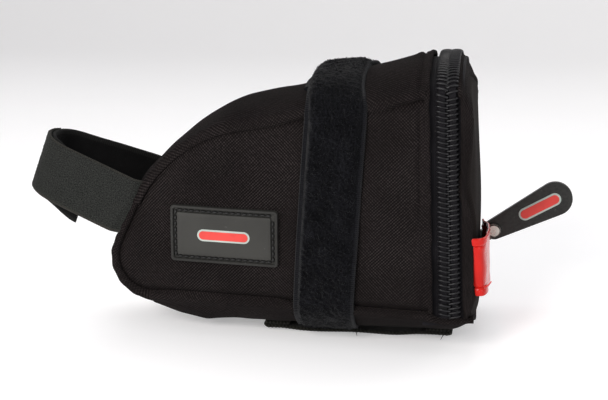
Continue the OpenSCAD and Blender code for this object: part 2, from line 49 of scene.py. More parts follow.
# The bag's driving sizes, in millimetres and degrees, as the frame holds them
bag = {
    "noseReach": 98, "mouthReach": 49, "mouthLean": 2, "sideHeight": 86, "seamLow": 18.7,
    "topSlope": 11, "noseLean": 25, "browRadius": 58, "toeRadius": 14,
    "mouthWidth": 73, "noseWidth": 42, "sideSwell": 2.5, "hem": 8, "fabric": 1.6,
    "crownTop": 13, "crownBrow": 7.5, "browDip": 2.5, "crownNose": 5, "crownToe": 9, "crownLow": 14.5,
    "recess": 2.7, "zipLow": 19.7,
}


# Small helpers for angles, noise and grids of points

def sinD(angle):
    return np.sin(np.radians(angle))


def cosD(angle):
    return np.cos(np.radians(angle))


def mix(a, b, t):
    return a + (b - a) * t


def smooth(t):
    t = np.clip(t, 0, 1)
    return t * t * (3 - 2 * t)


def ramp(x, start, run):
    # 0 up to start, 1 from start + run on
    return smooth((x - start) / run)


def bump(x, width):
    return np.exp(-(x / width) ** 2)


def ridge(x, height, at, width):
    return height * bump(x - at, width)


def wave(x, height, run, phase=0):
    return height * np.sin(x / run + phase)


def softNoise(points, size, seed, waves=9):
    # a sum of sine waves in seeded directions, about -1 to 1
    rng = np.random.default_rng(seed)
    total = np.zeros(points.shape[:-1])
    for _ in range(waves):
        direction = rng.normal(size=points.shape[-1])
        direction /= np.linalg.norm(direction)
        turn = 2 * np.pi / (size * rng.uniform(0.7, 1.5))
        total += np.sin(points @ direction * turn + rng.uniform(0, 2 * np.pi))
    return total / math.sqrt(waves)


def unit(v):
    return v / np.maximum(np.linalg.norm(v, axis=-1, keepdims=True), 1e-9)


def gridNormals(grid):
    return unit(np.cross(np.gradient(grid, axis=0), np.gradient(grid, axis=1)))


def pushOut(grid, push):
    return grid + gridNormals(grid) * push[..., None]


def runLength(points, axis):
    steps = np.linalg.norm(np.diff(points, axis=axis), axis=-1)
    start = np.zeros_like(np.take(steps, [0], axis=axis))
    return np.cumsum(np.concatenate([start, steps], axis=axis), axis=axis)


def fromEdge(grid):
    # the way to the nearer end of a row
    across = runLength(grid, 1)
    return np.minimum(across, across[:, -1:] - across)


def pointsAt(at, run, points):
    return np.stack([np.interp(at, run, points[:, k]) for k in range(points.shape[1])], -1)


def relax(grid, times):
    # soften folds along the rows, with both ends kept
    grid = grid.copy()
    for _ in range(times):
        grid[1:-1] = (grid[:-2] + 2 * grid[1:-1] + grid[2:]) / 4
    return grid


def gussetUv(plain, grid):
    # cloth laid from the middle of a gusset outwards, with its threads kept straight over the creases
    across = runLength(grid, 1)
    across = relax(across - across[:, -1:] / 2, 300)
    return np.stack([runLength(plain, 0), across], -1)


# Mesh makers: every one takes millimetres and returns a Blender object

def newObject(name, verts, faces, uv=None, sharp=40):
    mesh = bpy.data.meshes.new(name)
    mesh.from_pydata((np.asarray(verts) * mm).tolist(), [], [list(f) for f in faces])
    mesh.validate()
    mesh.polygons.foreach_set("use_smooth", np.ones(len(mesh.polygons), bool))
    mesh.set_sharp_from_angle(angle=math.radians(sharp))
    if uv is not None:
        layer = mesh.uv_layers.new(name="cloth")
        corner = np.zeros(len(mesh.loops), int)
        mesh.loops.foreach_get("vertex_index", corner)
        layer.data.foreach_set("uv", np.asarray(uv, np.float32)[corner].ravel())
    mesh.update()
    thing = bpy.data.objects.new(name, mesh)
    bpy.context.scene.collection.objects.link(thing)
    return thing


def sheetFaces(rows, cols):
    count = rows * cols
    ids = np.arange(count).reshape(rows, cols)
    a, b, c, d = ids[:-1, :-1], ids[:-1, 1:], ids[1:, 1:], ids[1:, :-1]
    quads = [np.stack([a, d, c, b], -1), np.stack([a, b, c, d], -1) + count]
    for first, last, flip in ((ids[0], ids[-1], False), (ids[:, 0], ids[:, -1], True)):
        for line, turned in ((first, flip), (last, not flip)):
            p, q = (line[1:], line[:-1]) if turned else (line[:-1], line[1:])
            quads.append(np.stack([p, q, q + count, p + count], -1))
    return np.concatenate([q.reshape(-1, 4) for q in quads]).tolist()


cutSizes = {}


def flatCut(grid):
    # the widest, the longest and the whole area of a cloth's surface
    cell = np.cross(grid[1:, 1:] - grid[:-1, :-1], grid[1:, :-1] - grid[:-1, 1:])
    area = np.linalg.norm(cell, axis=-1).sum() / 2
    return runLength(grid, 1)[:, -1].max(), runLength(grid, 0)[-1].max(), area


def sheet(name, outer, inner, uv=None, sharp=40):
    # a closed skin between two grids; rows crossed with columns point outwards
    rows, cols = outer.shape[:2]
    cutSizes[name] = flatCut(outer)
    if uv is None:
        uv = np.stack([runLength(outer, 0), runLength(outer, 1)], -1)
    verts = np.concatenate([outer.reshape(-1, 3), inner.reshape(-1, 3)])
    flat = uv.reshape(-1, 2)
    return newObject(name, verts, sheetFaces(rows, cols), np.concatenate([flat, flat]), sharp)


def shell(name, outer, thick, uv=None):
    return sheet(name, outer, outer - gridNormals(outer) * thick, uv)


def strip(name, middle, thick, edgeRound=0.5, lift=None):
    # a tape with rounded edges: rows run along it and columns across it
    inset = np.clip(1 - fromEdge(middle) / edgeRound, 0, 1)
    half = (thick / 2 * np.sqrt(np.clip(1 - inset ** 2, 0.02, 1)))[..., None]
    normal = gridNormals(middle)
    outer = middle + normal * half
    if lift is not None:
        outer = outer + normal * lift[..., None]
    tape = sheet(name, outer, middle - normal * half, sharp=50)
    cutSizes[name] = flatCut(middle)
    return tape


def tubeParts(path, radius, sides=8, up=(0, 0, 1)):
    path = np.asarray(path, float)
    tangent = unit(np.gradient(path, axis=0))
    side = unit(np.cross(tangent, np.asarray(up, float) + 1e-4))
    for k in range(1, len(path)):
        side[k] = unit(side[k - 1] - tangent[k] * (side[k - 1] @ tangent[k]))
    over = np.cross(tangent, side)
    turn = np.linspace(0, 2 * np.pi, sides, endpoint=False)
    radius = np.broadcast_to(np.asarray(radius, float), (len(path),))[:, None, None]
    ring = np.cos(turn)[None, :, None] * side[:, None] + np.sin(turn)[None, :, None] * over[:, None]
    verts = (path[:, None] + radius * ring).reshape(-1, 3)
    ids = np.arange(len(verts)).reshape(len(path), sides)
    nextIds = np.roll(ids, -1, axis=1)
    faces = np.stack([ids[:-1], nextIds[:-1], nextIds[1:], ids[1:]], -1).reshape(-1, 4).tolist()
    faces += [ids[0, ::-1].tolist(), ids[-1].tolist()]
    u = np.repeat(runLength(path, 0)[:, None], sides, 1)
    v = np.broadcast_to(turn * radius[:, :, 0], u.shape)
    return verts, faces, np.stack([u, v], -1).reshape(-1, 2)


def tube(name, path, radius, sides):
    return newObject(name, *tubeParts(path, radius, sides), sharp=70)


def yarns(name, parts, sharp=70):
    # many small tubes as one piece
    verts, faces, uvs, start = [], [], [], 0
    for v, f, uv in parts:
        verts.append(v)
        faces += [[k + start for k in face] for face in f]
        uvs.append(uv)
        start += len(v)
    return newObject(name, np.concatenate(verts), faces, np.concatenate(uvs), sharp)


def dress(piece, body, material, slot, *replaced):
    piece.data.materials.clear()
    piece.data.materials.append(material)
    if body:
        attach(piece, body)
    if replaced:
        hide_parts(*replaced)
    return piece


def dressLid(piece, material, slot, *replaced):
    # a lid piece, dressed without a body and with its placement baked into the mesh
    dress(piece, None, material, slot, *replaced)
    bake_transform(piece)
    return piece


def cutCloth(piece, held, *restsOn):
    # the sizes of the flat piece that the cloth was cut as, before it was sewn in; they are worked out here
    # and go no further
    wide, long, area = cutSizes[piece.name]
    area = min(area, wide * long) * mm ** 2


# Shader groups shared by the materials

def nodeGroup(name, inputs, outputs):
    group = bpy.data.node_groups.new(name, "ShaderNodeTree")
    for label, value in inputs.items():
        socket = group.interface.new_socket(name=label, in_out="INPUT", socket_type="NodeSocketFloat")
        socket.default_value = value
    for label in outputs:
        group.interface.new_socket(name=label, in_out="OUTPUT", socket_type="NodeSocketFloat")
    given, result = group.nodes.new("NodeGroupInput"), group.nodes.new("NodeGroupOutput")
    return group, given.outputs, result.inputs


def wire(tree, value, socket):
    if isinstance(value, bpy.types.NodeSocket):
        tree.links.new(value, socket)
    else:
        socket.default_value = value


def calc(tree, operation, *values, clamp=False):
    node = tree.nodes.new("ShaderNodeMath")
    node.operation = operation
    node.use_clamp = clamp
    for k, value in enumerate(values):
        wire(tree, value, node.inputs[k])
    return node.outputs[0]


def blendColour(tree, factor, a, b):
    # colours are sockets or three numbers
    node = tree.nodes.new("ShaderNodeMix")
    node.data_type = "RGBA"
    wire(tree, factor, node.inputs[0])
    for colour, socket in ((a, node.inputs[6]), (b, node.inputs[7])):
        wire(tree, colour if isinstance(colour, bpy.types.NodeSocket) else (*colour, 1), socket)
    return node.outputs[2]


def noiseTexture(tree, vector, scale, detail=2.0, roughness=0.5):
    node = tree.nodes.new("ShaderNodeTexNoise")
    wire(tree, vector, node.inputs["Vector"])
    wire(tree, scale, node.inputs["Scale"])
    node.inputs["Detail"].default_value = detail
    node.inputs["Roughness"].default_value = roughness
    return node.outputs[0]


def remap(tree, value, low, high, toLow=0.0, toHigh=1.0):
    node = tree.nodes.new("ShaderNodeMapRange")
    node.interpolation_type = "SMOOTHSTEP"
    for k, v in enumerate((value, low, high, toLow, toHigh)):
        wire(tree, v, node.inputs[k])
    return node.outputs[0]


def clothAxes(tree):
    # the two thread directions, in millimetres, from the piece's cloth map
    uv = tree.nodes.new("ShaderNodeUVMap")
    uv.uv_map = "cloth"
    split = tree.nodes.new("ShaderNodeSeparateXYZ")
    tree.links.new(uv.outputs[0], split.inputs[0])
    return uv.outputs[0], split.outputs[0], split.outputs[1]


def objectSpace(tree):
    return tree.nodes.new("ShaderNodeTexCoord").outputs["Object"]


def perMetre(tree, size):
    # noise scale for a size in millimetres, in object space
    return calc(tree, "DIVIDE", 1000.0, size)


def makeTwillGroup():
    # two crossing sets of ribs; which one lies on top drifts over the cloth
    group, given, result = nodeGroup(
        "twillWeave", {"Pitch": 1.1, "Cross": 0.5, "Drift": 18.0}, ("Thread", "Height"))
    vector, u, v = clothAxes(group)
    wander = calc(group, "MULTIPLY", noiseTexture(group, vector, 0.3, 1.0), 0.5)
    turn = calc(group, "DIVIDE", 2 * math.pi / math.sqrt(2), given["Pitch"])
    rise = calc(group, "ADD", calc(group, "ADD", u, v), wander)
    fall = calc(group, "SUBTRACT", calc(group, "SUBTRACT", u, v), wander)
    ribs = calc(group, "SINE", calc(group, "MULTIPLY", rise, turn))
    weft = calc(group, "SINE", calc(group, "MULTIPLY", fall, turn))
    drift = noiseTexture(group, vector, calc(group, "DIVIDE", 1.0, given["Drift"]), 1.0)
    onTop = remap(group, drift, 0.4, 0.6, given["Cross"], calc(group, "SUBTRACT", 1.0, given["Cross"]))
    shownRibs = calc(group, "MULTIPLY", ribs, calc(group, "SUBTRACT", 1.0, onTop))
    woven = calc(group, "ADD", shownRibs, calc(group, "MULTIPLY", weft, onTop))
    height = calc(group, "MULTIPLY_ADD", woven, 0.5, 0.5)
    uneven = remap(group, noiseTexture(group, vector, 0.75, 2.0, 0.6), 0.25, 0.75, 0.35, 1.4)
    thread = calc(group, "MULTIPLY", remap(group, height, 0.3, 1.0), uneven)
    wire(group, thread, result["Thread"])
    wire(group, height, result["Height"])
    return group


def makePileGroup():
    # a nap of small loops between two ribbed edges
    group, given, result = nodeGroup(
        "loopPile", {"Loop": 0.9, "Edge": 2.4, "Width": 25.0, "Cloud": 0.2}, ("Tuft", "Selvedge", "Height"))
    vector, u, v = clothAxes(group)
    fine = noiseTexture(group, vector, calc(group, "DIVIDE", 1.3, given["Loop"]), 3.0, 0.7)
    broad = noiseTexture(group, vector, 0.16, 2.0)
    cloud = calc(group, "MULTIPLY", calc(group, "SUBTRACT", broad, 0.5), given["Cloud"])
    tuft = calc(group, "MULTIPLY_ADD", fine, 0.9, calc(group, "ADD", cloud, 0.1))
    edge = calc(group, "MINIMUM", v, calc(group, "SUBTRACT", given["Width"], v))
    inside = remap(group, edge, given["Edge"], calc(group, "ADD", given["Edge"], 0.8))
    selvedge = calc(group, "SUBTRACT", 1.0, inside, clamp=True)
    rib = calc(group, "SINE", calc(group, "MULTIPLY", u, 2 * math.pi / 0.85))
    flat = calc(group, "MULTIPLY", selvedge, calc(group, "MULTIPLY_ADD", rib, 0.16, 0.35))
    fuzz = calc(group, "MULTIPLY", calc(group, "SUBTRACT", 1.0, selvedge), tuft)
    ribbed = calc(group, "MULTIPLY", selvedge, calc(group, "MULTIPLY_ADD", rib, 0.35, 0.65))
    wire(group, remap(group, tuft, 0.42, 0.74), result["Tuft"])
    wire(group, ribbed, result["Selvedge"])
    wire(group, calc(group, "ADD", flat, fuzz), result["Height"])
    return group


def makeRibGroup():
    # ribs across a tape, each broken by the picks of the weave
    group, given, result = nodeGroup("ribbedWebbing", {"Rib": 1.5, "Pick": 0.8}, ("Thread", "Height"))
    _, u, v = clothAxes(group)
    across, picks = [
        calc(group, "SINE", calc(group, "DIVIDE", calc(group, "MULTIPLY", axis, 2 * math.pi), given[pitch]))
        for axis, pitch in ((v, "Rib"), (u, "Pick"))]
    woven = calc(group, "MULTIPLY", across, picks)
    height = calc(group, "MULTIPLY_ADD", calc(group, "ADD", across, woven), 0.25, 0.5)
    wire(group, height, result["Thread"])
    wire(group, height, result["Height"])
    return group


def makeMottleGroup():
    group, given, result = nodeGroup("mottleAndLint", {"Size": 14.0, "Lint": 0.5}, ("Mottle", "Lint"))
    place = objectSpace(group)
    cloud = noiseTexture(group, place, perMetre(group, given["Size"]), 3.0)
    speck = noiseTexture(group, place, 900.0, 1.0)
    patch = noiseTexture(group, place, 110.0, 1.0)
    spots = calc(group, "MULTIPLY", remap(group, speck, 0.7, 0.8), remap(group, patch, 0.45, 0.7))
    wire(group, remap(group, cloud, 0.25, 0.75), result["Mottle"])
    wire(group, calc(group, "MULTIPLY", spots, given["Lint"]), result["Lint"])
    return group


def makeWearGroup():
    group, given, result = nodeGroup("edgeWear", {"Start": 0.52, "Full": 0.62, "Size": 3.0}, ("Wear",))
    geometry = group.nodes.new("ShaderNodeNewGeometry")
    edge = remap(group, geometry.outputs["Pointiness"], given["Start"], given["Full"])
    grain = noiseTexture(group, objectSpace(group), perMetre(group, given["Size"]), 4.0, 0.65)
    wire(group, calc(group, "MULTIPLY", edge, remap(group, grain, 0.3, 0.65)), result["Wear"])
    return group


twillGroup = makeTwillGroup()
pileGroup = makePileGroup()
ribGroup = makeRibGroup()
mottleGroup = makeMottleGroup()
wearGroup = makeWearGroup()
print("shader groups built")


# Materials

def newMaterial(name, colour, roughness, **sockets):
    material = bpy.data.materials.new(name)
    material.use_nodes = True
    tree = material.node_tree
    shader = tree.nodes["Principled BSDF"]
    shader.inputs["Base Color"].default_value = (*colour, 1)
    shader.inputs["Roughness"].default_value = roughness
    for label, value in sockets.items():
        shader.inputs[label.replace("_", " ")].default_value = value
    return material, tree, shader


def placeGroup(tree, group, **values):
    node = tree.nodes.new("ShaderNodeGroup")
    node.node_tree = group
    for label, value in values.items():
        node.inputs[label].default_value = value
    return node.outputs


def addBump(tree, shader, height, strength, depth):
    node = tree.nodes.new("ShaderNodeBump")
    node.inputs["Strength"].default_value = strength
    node.inputs["Distance"].default_value = depth * mm
    wire(tree, height, node.inputs["Height"])
    wire(tree, node.outputs[0], shader.inputs["Normal"])


def shadeOf(colour, share):
    return [share * c for c in colour]


def clothMaterial(name, look):
    # twill or ribbed threads, with mottling, lint and worn edges
    dark = look["dark"]
    material, tree, shader = newMaterial(
        name, dark, look["rough"], Sheen_Weight=look["sheen"], Sheen_Roughness=0.5,
        Specular_IOR_Level=look["spec"])
    spots = placeGroup(tree, mottleGroup, Size=look["mottle"], Lint=look["lint"])
    wear = placeGroup(tree, wearGroup, Start=0.53, Full=0.66, Size=2.0)
    if "rib" in look:
        weave = placeGroup(tree, ribGroup, Rib=look["rib"], Pick=look["pick"])
    else:
        weave = placeGroup(tree, twillGroup, Pitch=look["pitch"], Cross=look["cross"])
    base = blendColour(tree, weave["Thread"], dark, look["light"])
    base = blendColour(tree, calc(tree, "MULTIPLY", spots["Mottle"], 0.45), base, shadeOf(dark, 0.55))
    base = blendColour(tree, spots["Lint"], base, (0.22, 0.2, 0.18))
    base = blendColour(tree, calc(tree, "MULTIPLY", wear["Wear"], look["wear"]), base, look["worn"])
    wire(tree, base, shader.inputs["Base Color"])
    rough = calc(tree, "MULTIPLY_ADD", weave["Thread"], -0.12, look["rough"] + 0.06)
    wire(tree, calc(tree, "MULTIPLY_ADD", spots["Mottle"], 0.06, rough), shader.inputs["Roughness"])
    addBump(tree, shader, weave["Height"], look["bump"], look["depth"])
    return material


def pileMaterial(name, look):
    dark = look["dark"]
    material, tree, shader = newMaterial(
        name, dark, look["rough"], Sheen_Weight=look["sheen"], Sheen_Roughness=0.4,
        Specular_IOR_Level=look["spec"])
    pile = placeGroup(tree, pileGroup, Loop=look["loop"], Edge=look["edge"], Width=25.0, Cloud=look["cloud"])
    spots = placeGroup(tree, mottleGroup, Size=9.0, Lint=look["lint"])
    base = blendColour(tree, pile["Tuft"], dark, look["light"])
    spotted = calc(tree, "MULTIPLY", spots["Mottle"], look["mottle"])
    base = blendColour(tree, spotted, base, shadeOf(dark, 0.5))
    edged = calc(tree, "MULTIPLY", pile["Selvedge"], look["edgeMix"])
    base = blendColour(tree, edged, base, look["selvedge"])
    base = blendColour(tree, spots["Lint"], base, (0.2, 0.2, 0.2))
    wire(tree, base, shader.inputs["Base Color"])
    smoother = calc(tree, "MULTIPLY_ADD", pile["Selvedge"], -0.25, look["rough"])
    wire(tree, smoother, shader.inputs["Roughness"])
    addBump(tree, shader, pile["Height"], look["bump"], look["depth"])
    return material


def smoothMaterial(name, look):
    # rubber, vinyl, nylon and metal: fine grain, mottling and worn edges
    colour = look["colour"]
    material, tree, shader = newMaterial(
        name, colour, look["rough"], Metallic=look.get("metal", 0.0),
        Specular_IOR_Level=look.get("spec", 0.5), Coat_Weight=look.get("coat", 0.0), Coat_Roughness=0.06)
    spots = placeGroup(tree, mottleGroup, Size=look.get("mottle", 8.0), Lint=look.get("lint", 0.0))
    wear = placeGroup(tree, wearGroup, Start=0.52, Full=0.6, Size=1.5)
    base = blendColour(tree, spots["Mottle"], colour, shadeOf(colour, look.get("shade", 0.8)))
    base = blendColour(tree, calc(tree, "MULTIPLY", wear["Wear"], look["wear"]), base, look["worn"])
    base = blendColour(tree, spots["Lint"], base, (0.45, 0.44, 0.42))
    wire(tree, base, shader.inputs["Base Color"])
    rough = calc(tree, "MULTIPLY_ADD", spots["Mottle"], 0.08, look["rough"] - 0.03)
    wire(tree, rough, shader.inputs["Roughness"])
    grain = noiseTexture(tree, objectSpace(tree), 1000.0 / look.get("grain", 0.5), 3.0, 0.6)
    addBump(tree, shader, grain, look["bump"], look["depth"])
    return material


clothLooks = {
    "shellFabric": dict(
        dark=(0.0058, 0.0048, 0.0048), light=(0.0345, 0.0284, 0.028), worn=(0.04, 0.032, 0.03),
        pitch=0.95, cross=0.38, rough=0.85, sheen=0.0, spec=0.03, mottle=26.0, lint=0.06, wear=0.2,
        bump=0.8, depth=0.35),
    "rearFabric": dict(
        dark=(0.0125, 0.0103, 0.0096), light=(0.0215, 0.0177, 0.0165), worn=(0.03, 0.026, 0.023),
        pitch=0.75, cross=0.45, rough=0.8, sheen=0.0, spec=0.03, mottle=30.0, lint=0.05, wear=0.15,
        bump=0.25, depth=0.1),
    "zipTape": dict(
        dark=(0.0032, 0.0028, 0.0036), light=(0.009, 0.008, 0.0105), worn=(0.03, 0.03, 0.034),
        rib=0.7, pick=0.9, rough=0.75, sheen=0.02, spec=0.12, mottle=12.0, lint=0.15, wear=0.2,
        bump=0.4, depth=0.15),
    "keeperWebbing": dict(
        dark=(0.005, 0.005, 0.0038), light=(0.024, 0.0234, 0.018), worn=(0.06, 0.058, 0.045),
        rib=1.9, pick=1.2, rough=0.85, sheen=0.05, spec=0.08, mottle=10.0, lint=0.1, wear=0.5,
        bump=0.7, depth=0.4),
    "innerTape": dict(
        dark=(0.008, 0.008, 0.009), light=(0.022, 0.022, 0.024), worn=(0.05, 0.05, 0.05),
        rib=1.1, pick=0.9, rough=0.75, sheen=0.05, spec=0.2, mottle=12.0, lint=0.2, wear=0.3,
        bump=0.5, depth=0.2),
    "lining": dict(
        dark=(0.03, 0.03, 0.032), light=(0.06, 0.06, 0.063), worn=(0.1, 0.1, 0.1),
        rib=0.9, pick=0.9, rough=0.65, sheen=0.08, spec=0.3, mottle=20.0, lint=0.2, wear=0.3,
        bump=0.35, depth=0.12),
}
pileLooks = {
    "strapPile": dict(
        dark=(0.0008, 0.0009, 0.0011), light=(0.012, 0.0123, 0.015), selvedge=(0.0115, 0.0117, 0.0137),
        edgeMix=0.75, loop=1.0, edge=1.5, rough=0.95, sheen=0.07, spec=0.03, lint=0.1, mottle=0.4, cloud=0.2,
        bump=1.0, depth=0.8),
    "bandPile": dict(
        dark=(0.006, 0.0064, 0.006), light=(0.042, 0.044, 0.0405), selvedge=(0.05, 0.043, 0.034),
        edgeMix=0.4, loop=0.6, edge=0.35, rough=0.95, sheen=0.03, spec=0.06, lint=0.1,
        mottle=0.06, cloud=0.03, bump=0.9, depth=0.3),
    "bandHook": dict(
        dark=(0.0022, 0.0022, 0.0022), light=(0.0065, 0.0065, 0.0065), selvedge=(0.011, 0.011, 0.01),
        edgeMix=0.7, loop=0.5, edge=1.2, rough=0.9, sheen=0.02, spec=0.1, lint=0.08, mottle=0.3, cloud=0.2,
        bump=0.7, depth=0.3),
}
badgeFinish = dict(
    rough=0.62, spec=0.25, wear=0.45, bump=0.25, depth=0.05, grain=0.35, mottle=16.0, lint=0.2)
markFinish = dict(spec=0.35, wear=0.3, bump=0.15, depth=0.03)
metalFinish = dict(metal=1.0, bump=0.1, depth=0.02, grain=0.3, mottle=3.0, shade=0.85)
threadFinish = dict(wear=0.3, depth=0.05, grain=0.15)
smoothLooks = {
    "coilNylon": dict(
        colour=(0.0034, 0.0031, 0.0037), worn=(0.03, 0.03, 0.034), rough=0.31, spec=0.28, wear=0.3,
        bump=0.08, depth=0.03, grain=0.3, mottle=5.0),
    "stopNylon": dict(
        colour=(0.003, 0.003, 0.0033), worn=(0.02, 0.02, 0.02), rough=0.65, spec=0.12, wear=0.2,
        bump=0.15, depth=0.03),
    "badgeRubber": dict(badgeFinish, colour=(0.033, 0.0325, 0.0295), worn=(0.06, 0.058, 0.052)),
    # the rim's rubber is a darker copy of the badge rubber: painted shade on the rim
    "shadedRimRubber": dict(badgeFinish, colour=(0.0185, 0.0182, 0.0165), worn=(0.05, 0.048, 0.043)),
    "tabRubber": dict(
        colour=(0.0105, 0.011, 0.0098), worn=(0.035, 0.036, 0.033), rough=0.5, spec=0.3, wear=0.4,
        bump=0.2, depth=0.04, grain=0.35, mottle=10.0, lint=0.15),
    "redMark": dict(markFinish, colour=(0.66, 0.05, 0.04), worn=(0.8, 0.16, 0.12), rough=0.45),
    "markOutline": dict(markFinish, colour=(0.42, 0.48, 0.44), worn=(0.6, 0.64, 0.6), rough=0.5),
    "redVinyl": dict(
        colour=(0.52, 0.012, 0.008), worn=(0.75, 0.08, 0.05), rough=0.22, spec=0.15, coat=0.05, wear=0.25,
        bump=0.25, depth=0.12, grain=5.0, mottle=9.0, shade=0.86),
    # a metal finish painted near black, given to the puller link
    "darkLinkMetal": dict(metalFinish, colour=(0.03, 0.03, 0.03), worn=(0.3, 0.29, 0.27), rough=0.3, wear=0.5),
    "nickel": dict(metalFinish, colour=(0.4, 0.4, 0.37), worn=(0.66, 0.66, 0.6), rough=0.26, wear=0.4),
    "sliderEnamel": dict(
        colour=(0.006, 0.006, 0.006), worn=(0.14, 0.135, 0.125), rough=0.32, spec=0.5, coat=0.2, wear=0.6,
        bump=0.1, depth=0.03, grain=0.4),
    "darkThread": dict(
        threadFinish, colour=(0.006, 0.0058, 0.0055), worn=(0.03, 0.03, 0.03),
        rough=0.55, spec=0.3, bump=0.4),
    "redThread": dict(
        threadFinish, colour=(0.55, 0.015, 0.012), worn=(0.75, 0.08, 0.05), rough=0.45, spec=0.4, bump=0.3),
    "boardSheet": dict(
        colour=(0.4, 0.4, 0.385), worn=(0.55, 0.55, 0.53), rough=0.6, wear=0.3, bump=0.1, depth=0.04),
}
paint = {}
for makeMaterial, looks in (
        (clothMaterial, clothLooks), (pileMaterial, pileLooks), (smoothMaterial, smoothLooks)):
    for name, look in looks.items():
        paint[name] = makeMaterial(name, look)
print("materials built:", len(paint))


# Outline of the side seams, as stations with a point, an outward angle, a crown angle and a crown height

def lidPoint(x, z):
    lean = bag["mouthLean"]
    return np.stack([
        bag["mouthReach"] + x * cosD(lean) - z * sinD(lean),
        z * cosD(lean) + x * sinD(lean),
    ], -1)


def polar(radius, angle):
    return np.stack([radius * cosD(angle), radius * sinD(angle)], -1)


def meet(p, d, q, e):
    gap = q - p
    return p + d * (gap[0] * e[1] - gap[1] * e[0]) / (d[0] * e[1] - d[1] * e[0])


seamLow = bag["seamLow"]
seamHigh = seamLow + bag["sideHeight"]
mouthHalf = bag["mouthWidth"] / 2
hemX = bag["mouthReach"] - bag["hem"]
topDir = polar(1.0, bag["topSlope"])
noseDir = polar(1.0, 90 - bag["noseLean"])
noseAngle = 180 - bag["noseLean"]
toe = np.array([-bag["noseReach"], seamLow])
hemHigh = lidPoint(-bag["hem"], seamHigh)
brow = meet(hemHigh, topDir, toe, noseDir)
browRun = bag["browRadius"] * math.tan(math.radians((90 - bag["noseLean"] - bag["topSlope"]) / 2))
browStart, browEnd = brow + topDir * browRun, brow - noseDir * browRun
browCentre = browStart - polar(bag["browRadius"], 90 + bag["topSlope"])
toeRun = bag["toeRadius"] * math.tan(math.radians((90 + bag["noseLean"]) / 2))
toeStart, toeEnd = toe + noseDir * toeRun, toe + np.array([toeRun, 0])
toeCentre = toeEnd + np.array([0, bag["toeRadius"]])


def halfWidth(x):
    wide = mix(bag["noseWidth"] / 2, mouthHalf, (x + bag["noseReach"]) / (hemX + bag["noseReach"]))
    return np.minimum(wide, mouthHalf)


def roof(x):
    return hemHigh[1] + (x - hemHigh[0]) * math.tan(math.radians(bag["topSlope"]))


def stations(points, outward, aim, crown):
    count = len(points)
    spread = {"outward": outward, "aim": aim, "crown": crown}
    return {"point": points, **{key: np.broadcast_to(value, count) + 0.0 for key, value in spread.items()}}


def joinRuns(*runs):
    return {key: np.concatenate([run[key] for run in runs]) for key in runs[0]}


def backwards(run):
    return {key: value[::-1] for key, value in run.items()}


def along(a, b, t):
    return a + (b - a) * t[:, None]


def topStations(count, edge=bag["hem"]):
    t = np.linspace(0, 1, count)
    lidUp = polar(1.0, 90 + bag["mouthLean"])
    start = meet(hemHigh, topDir, lidPoint(-edge, 0.0), lidUp)
    return stations(along(start, browStart, t), 90 + bag["topSlope"], 90 + bag["mouthLean"] * (1 - t),
                    mix(bag["crownTop"], bag["crownBrow"], t))


def browStations(count):
    t = np.linspace(0, 1, count + 1)[1:]
    angle = mix(90 + bag["topSlope"], noseAngle, t)
    crown = mix(bag["crownBrow"], bag["crownNose"], t) - bag["browDip"] * sinD(180 * t)
    return stations(browCentre + polar(bag["browRadius"], angle), angle, mix(90, noseAngle, t), crown)


def noseStations(count):
    t = np.linspace(0, 1, count)
    return stations(along(browEnd, toeStart, t), noseAngle, noseAngle, bag["crownNose"])


def toeStations(count):
    t = np.linspace(0, 1, count + 1)[1:]
    angle = mix(noseAngle, 270, t)
    crown = mix(bag["crownNose"], bag["crownToe"], t)
    return stations(toeCentre + polar(bag["toeRadius"], angle), angle, angle, crown)


def baseCurve(x):
    # the crown's angle and height at a place along the base
    share = (x - toeEnd[0]) / (hemX - toeEnd[0])
    crown = mix(bag["crownToe"], bag["crownLow"], np.sin(np.pi / 2 * np.clip(5 * share, 0, 1)))
    return 270 + bag["mouthLean"] * share, crown


def baseStations(count, end):
    x = mix(toeEnd[0], end, np.linspace(0, 1, count))
    return stations(np.stack([x, np.full(count, seamLow)], -1), 270, *baseCurve(x))


# Seams and hems, in millimetres: a ridge or groove is a height, its place and its width, a ramp is its start
# and its run, and a wave is its height and its run

gussetSeam = {"groove": (1.5, 0, 0.8), "roll": (1.15, 2.6, 1.9)}
sideSeam = {"groove": (2.1, 0, 1.7), "roll": (0.35, 4.0, 2.0)}
puckerLook = {"depth": 0.16, "pitch": 6.5, "sway": (2.1, 17)}
creaseLook = {"reach": 9, "share": 0.22, "stretch": (1, 0.55, 1), "finer": 3.2}
hemLook = {"roll": (0.45, 4.9, 1.5), "crease": (0.85, 2.9, 0.6)}


def seamRelief(look, distance, run):
    # the dip of a sewn seam and the soft roll beside it, puckered by the stitches
    phase = 2 * np.pi * run / puckerLook["pitch"] + wave(run, *puckerLook["sway"])
    pucker = 1 + puckerLook["depth"] * np.sin(phase)
    return ridge(distance, *look["roll"]) * pucker - ridge(distance, *look["groove"])


def hemCrease(distance):
    # the line of the turned hem, with a low roll on its inner side
    return ridge(distance, *hemLook["roll"]) - ridge(distance, *hemLook["crease"])


def gusset(run, cols):
    phi = np.linspace(90, -90, cols)[None]
    rise = run["crown"][:, None] * cosD(phi)
    wide = halfWidth(run["point"][:, :1]) * np.ones_like(phi)
    return np.stack([
        run["point"][:, :1] + rise * cosD(run["aim"])[:, None],
        wide * sinD(phi),
        run["point"][:, 1:] + rise * sinD(run["aim"])[:, None],
    ], -1)


def relieve(grid, look, extra=0):
    # seams, soft hollows and small creases of a gusset
    sag, size, seed = look["sag"], look["size"], look["seed"]
    distance = fromEdge(grid)
    inside = smooth(distance / creaseLook["reach"])
    push = seamRelief(gussetSeam, distance, runLength(grid, 0)) + inside * sag * softNoise(grid, size, seed)
    creases = softNoise(grid * creaseLook["stretch"], size / creaseLook["finer"], seed + 1)
    return pushOut(grid, push + inside * creaseLook["share"] * sag * creases + extra)


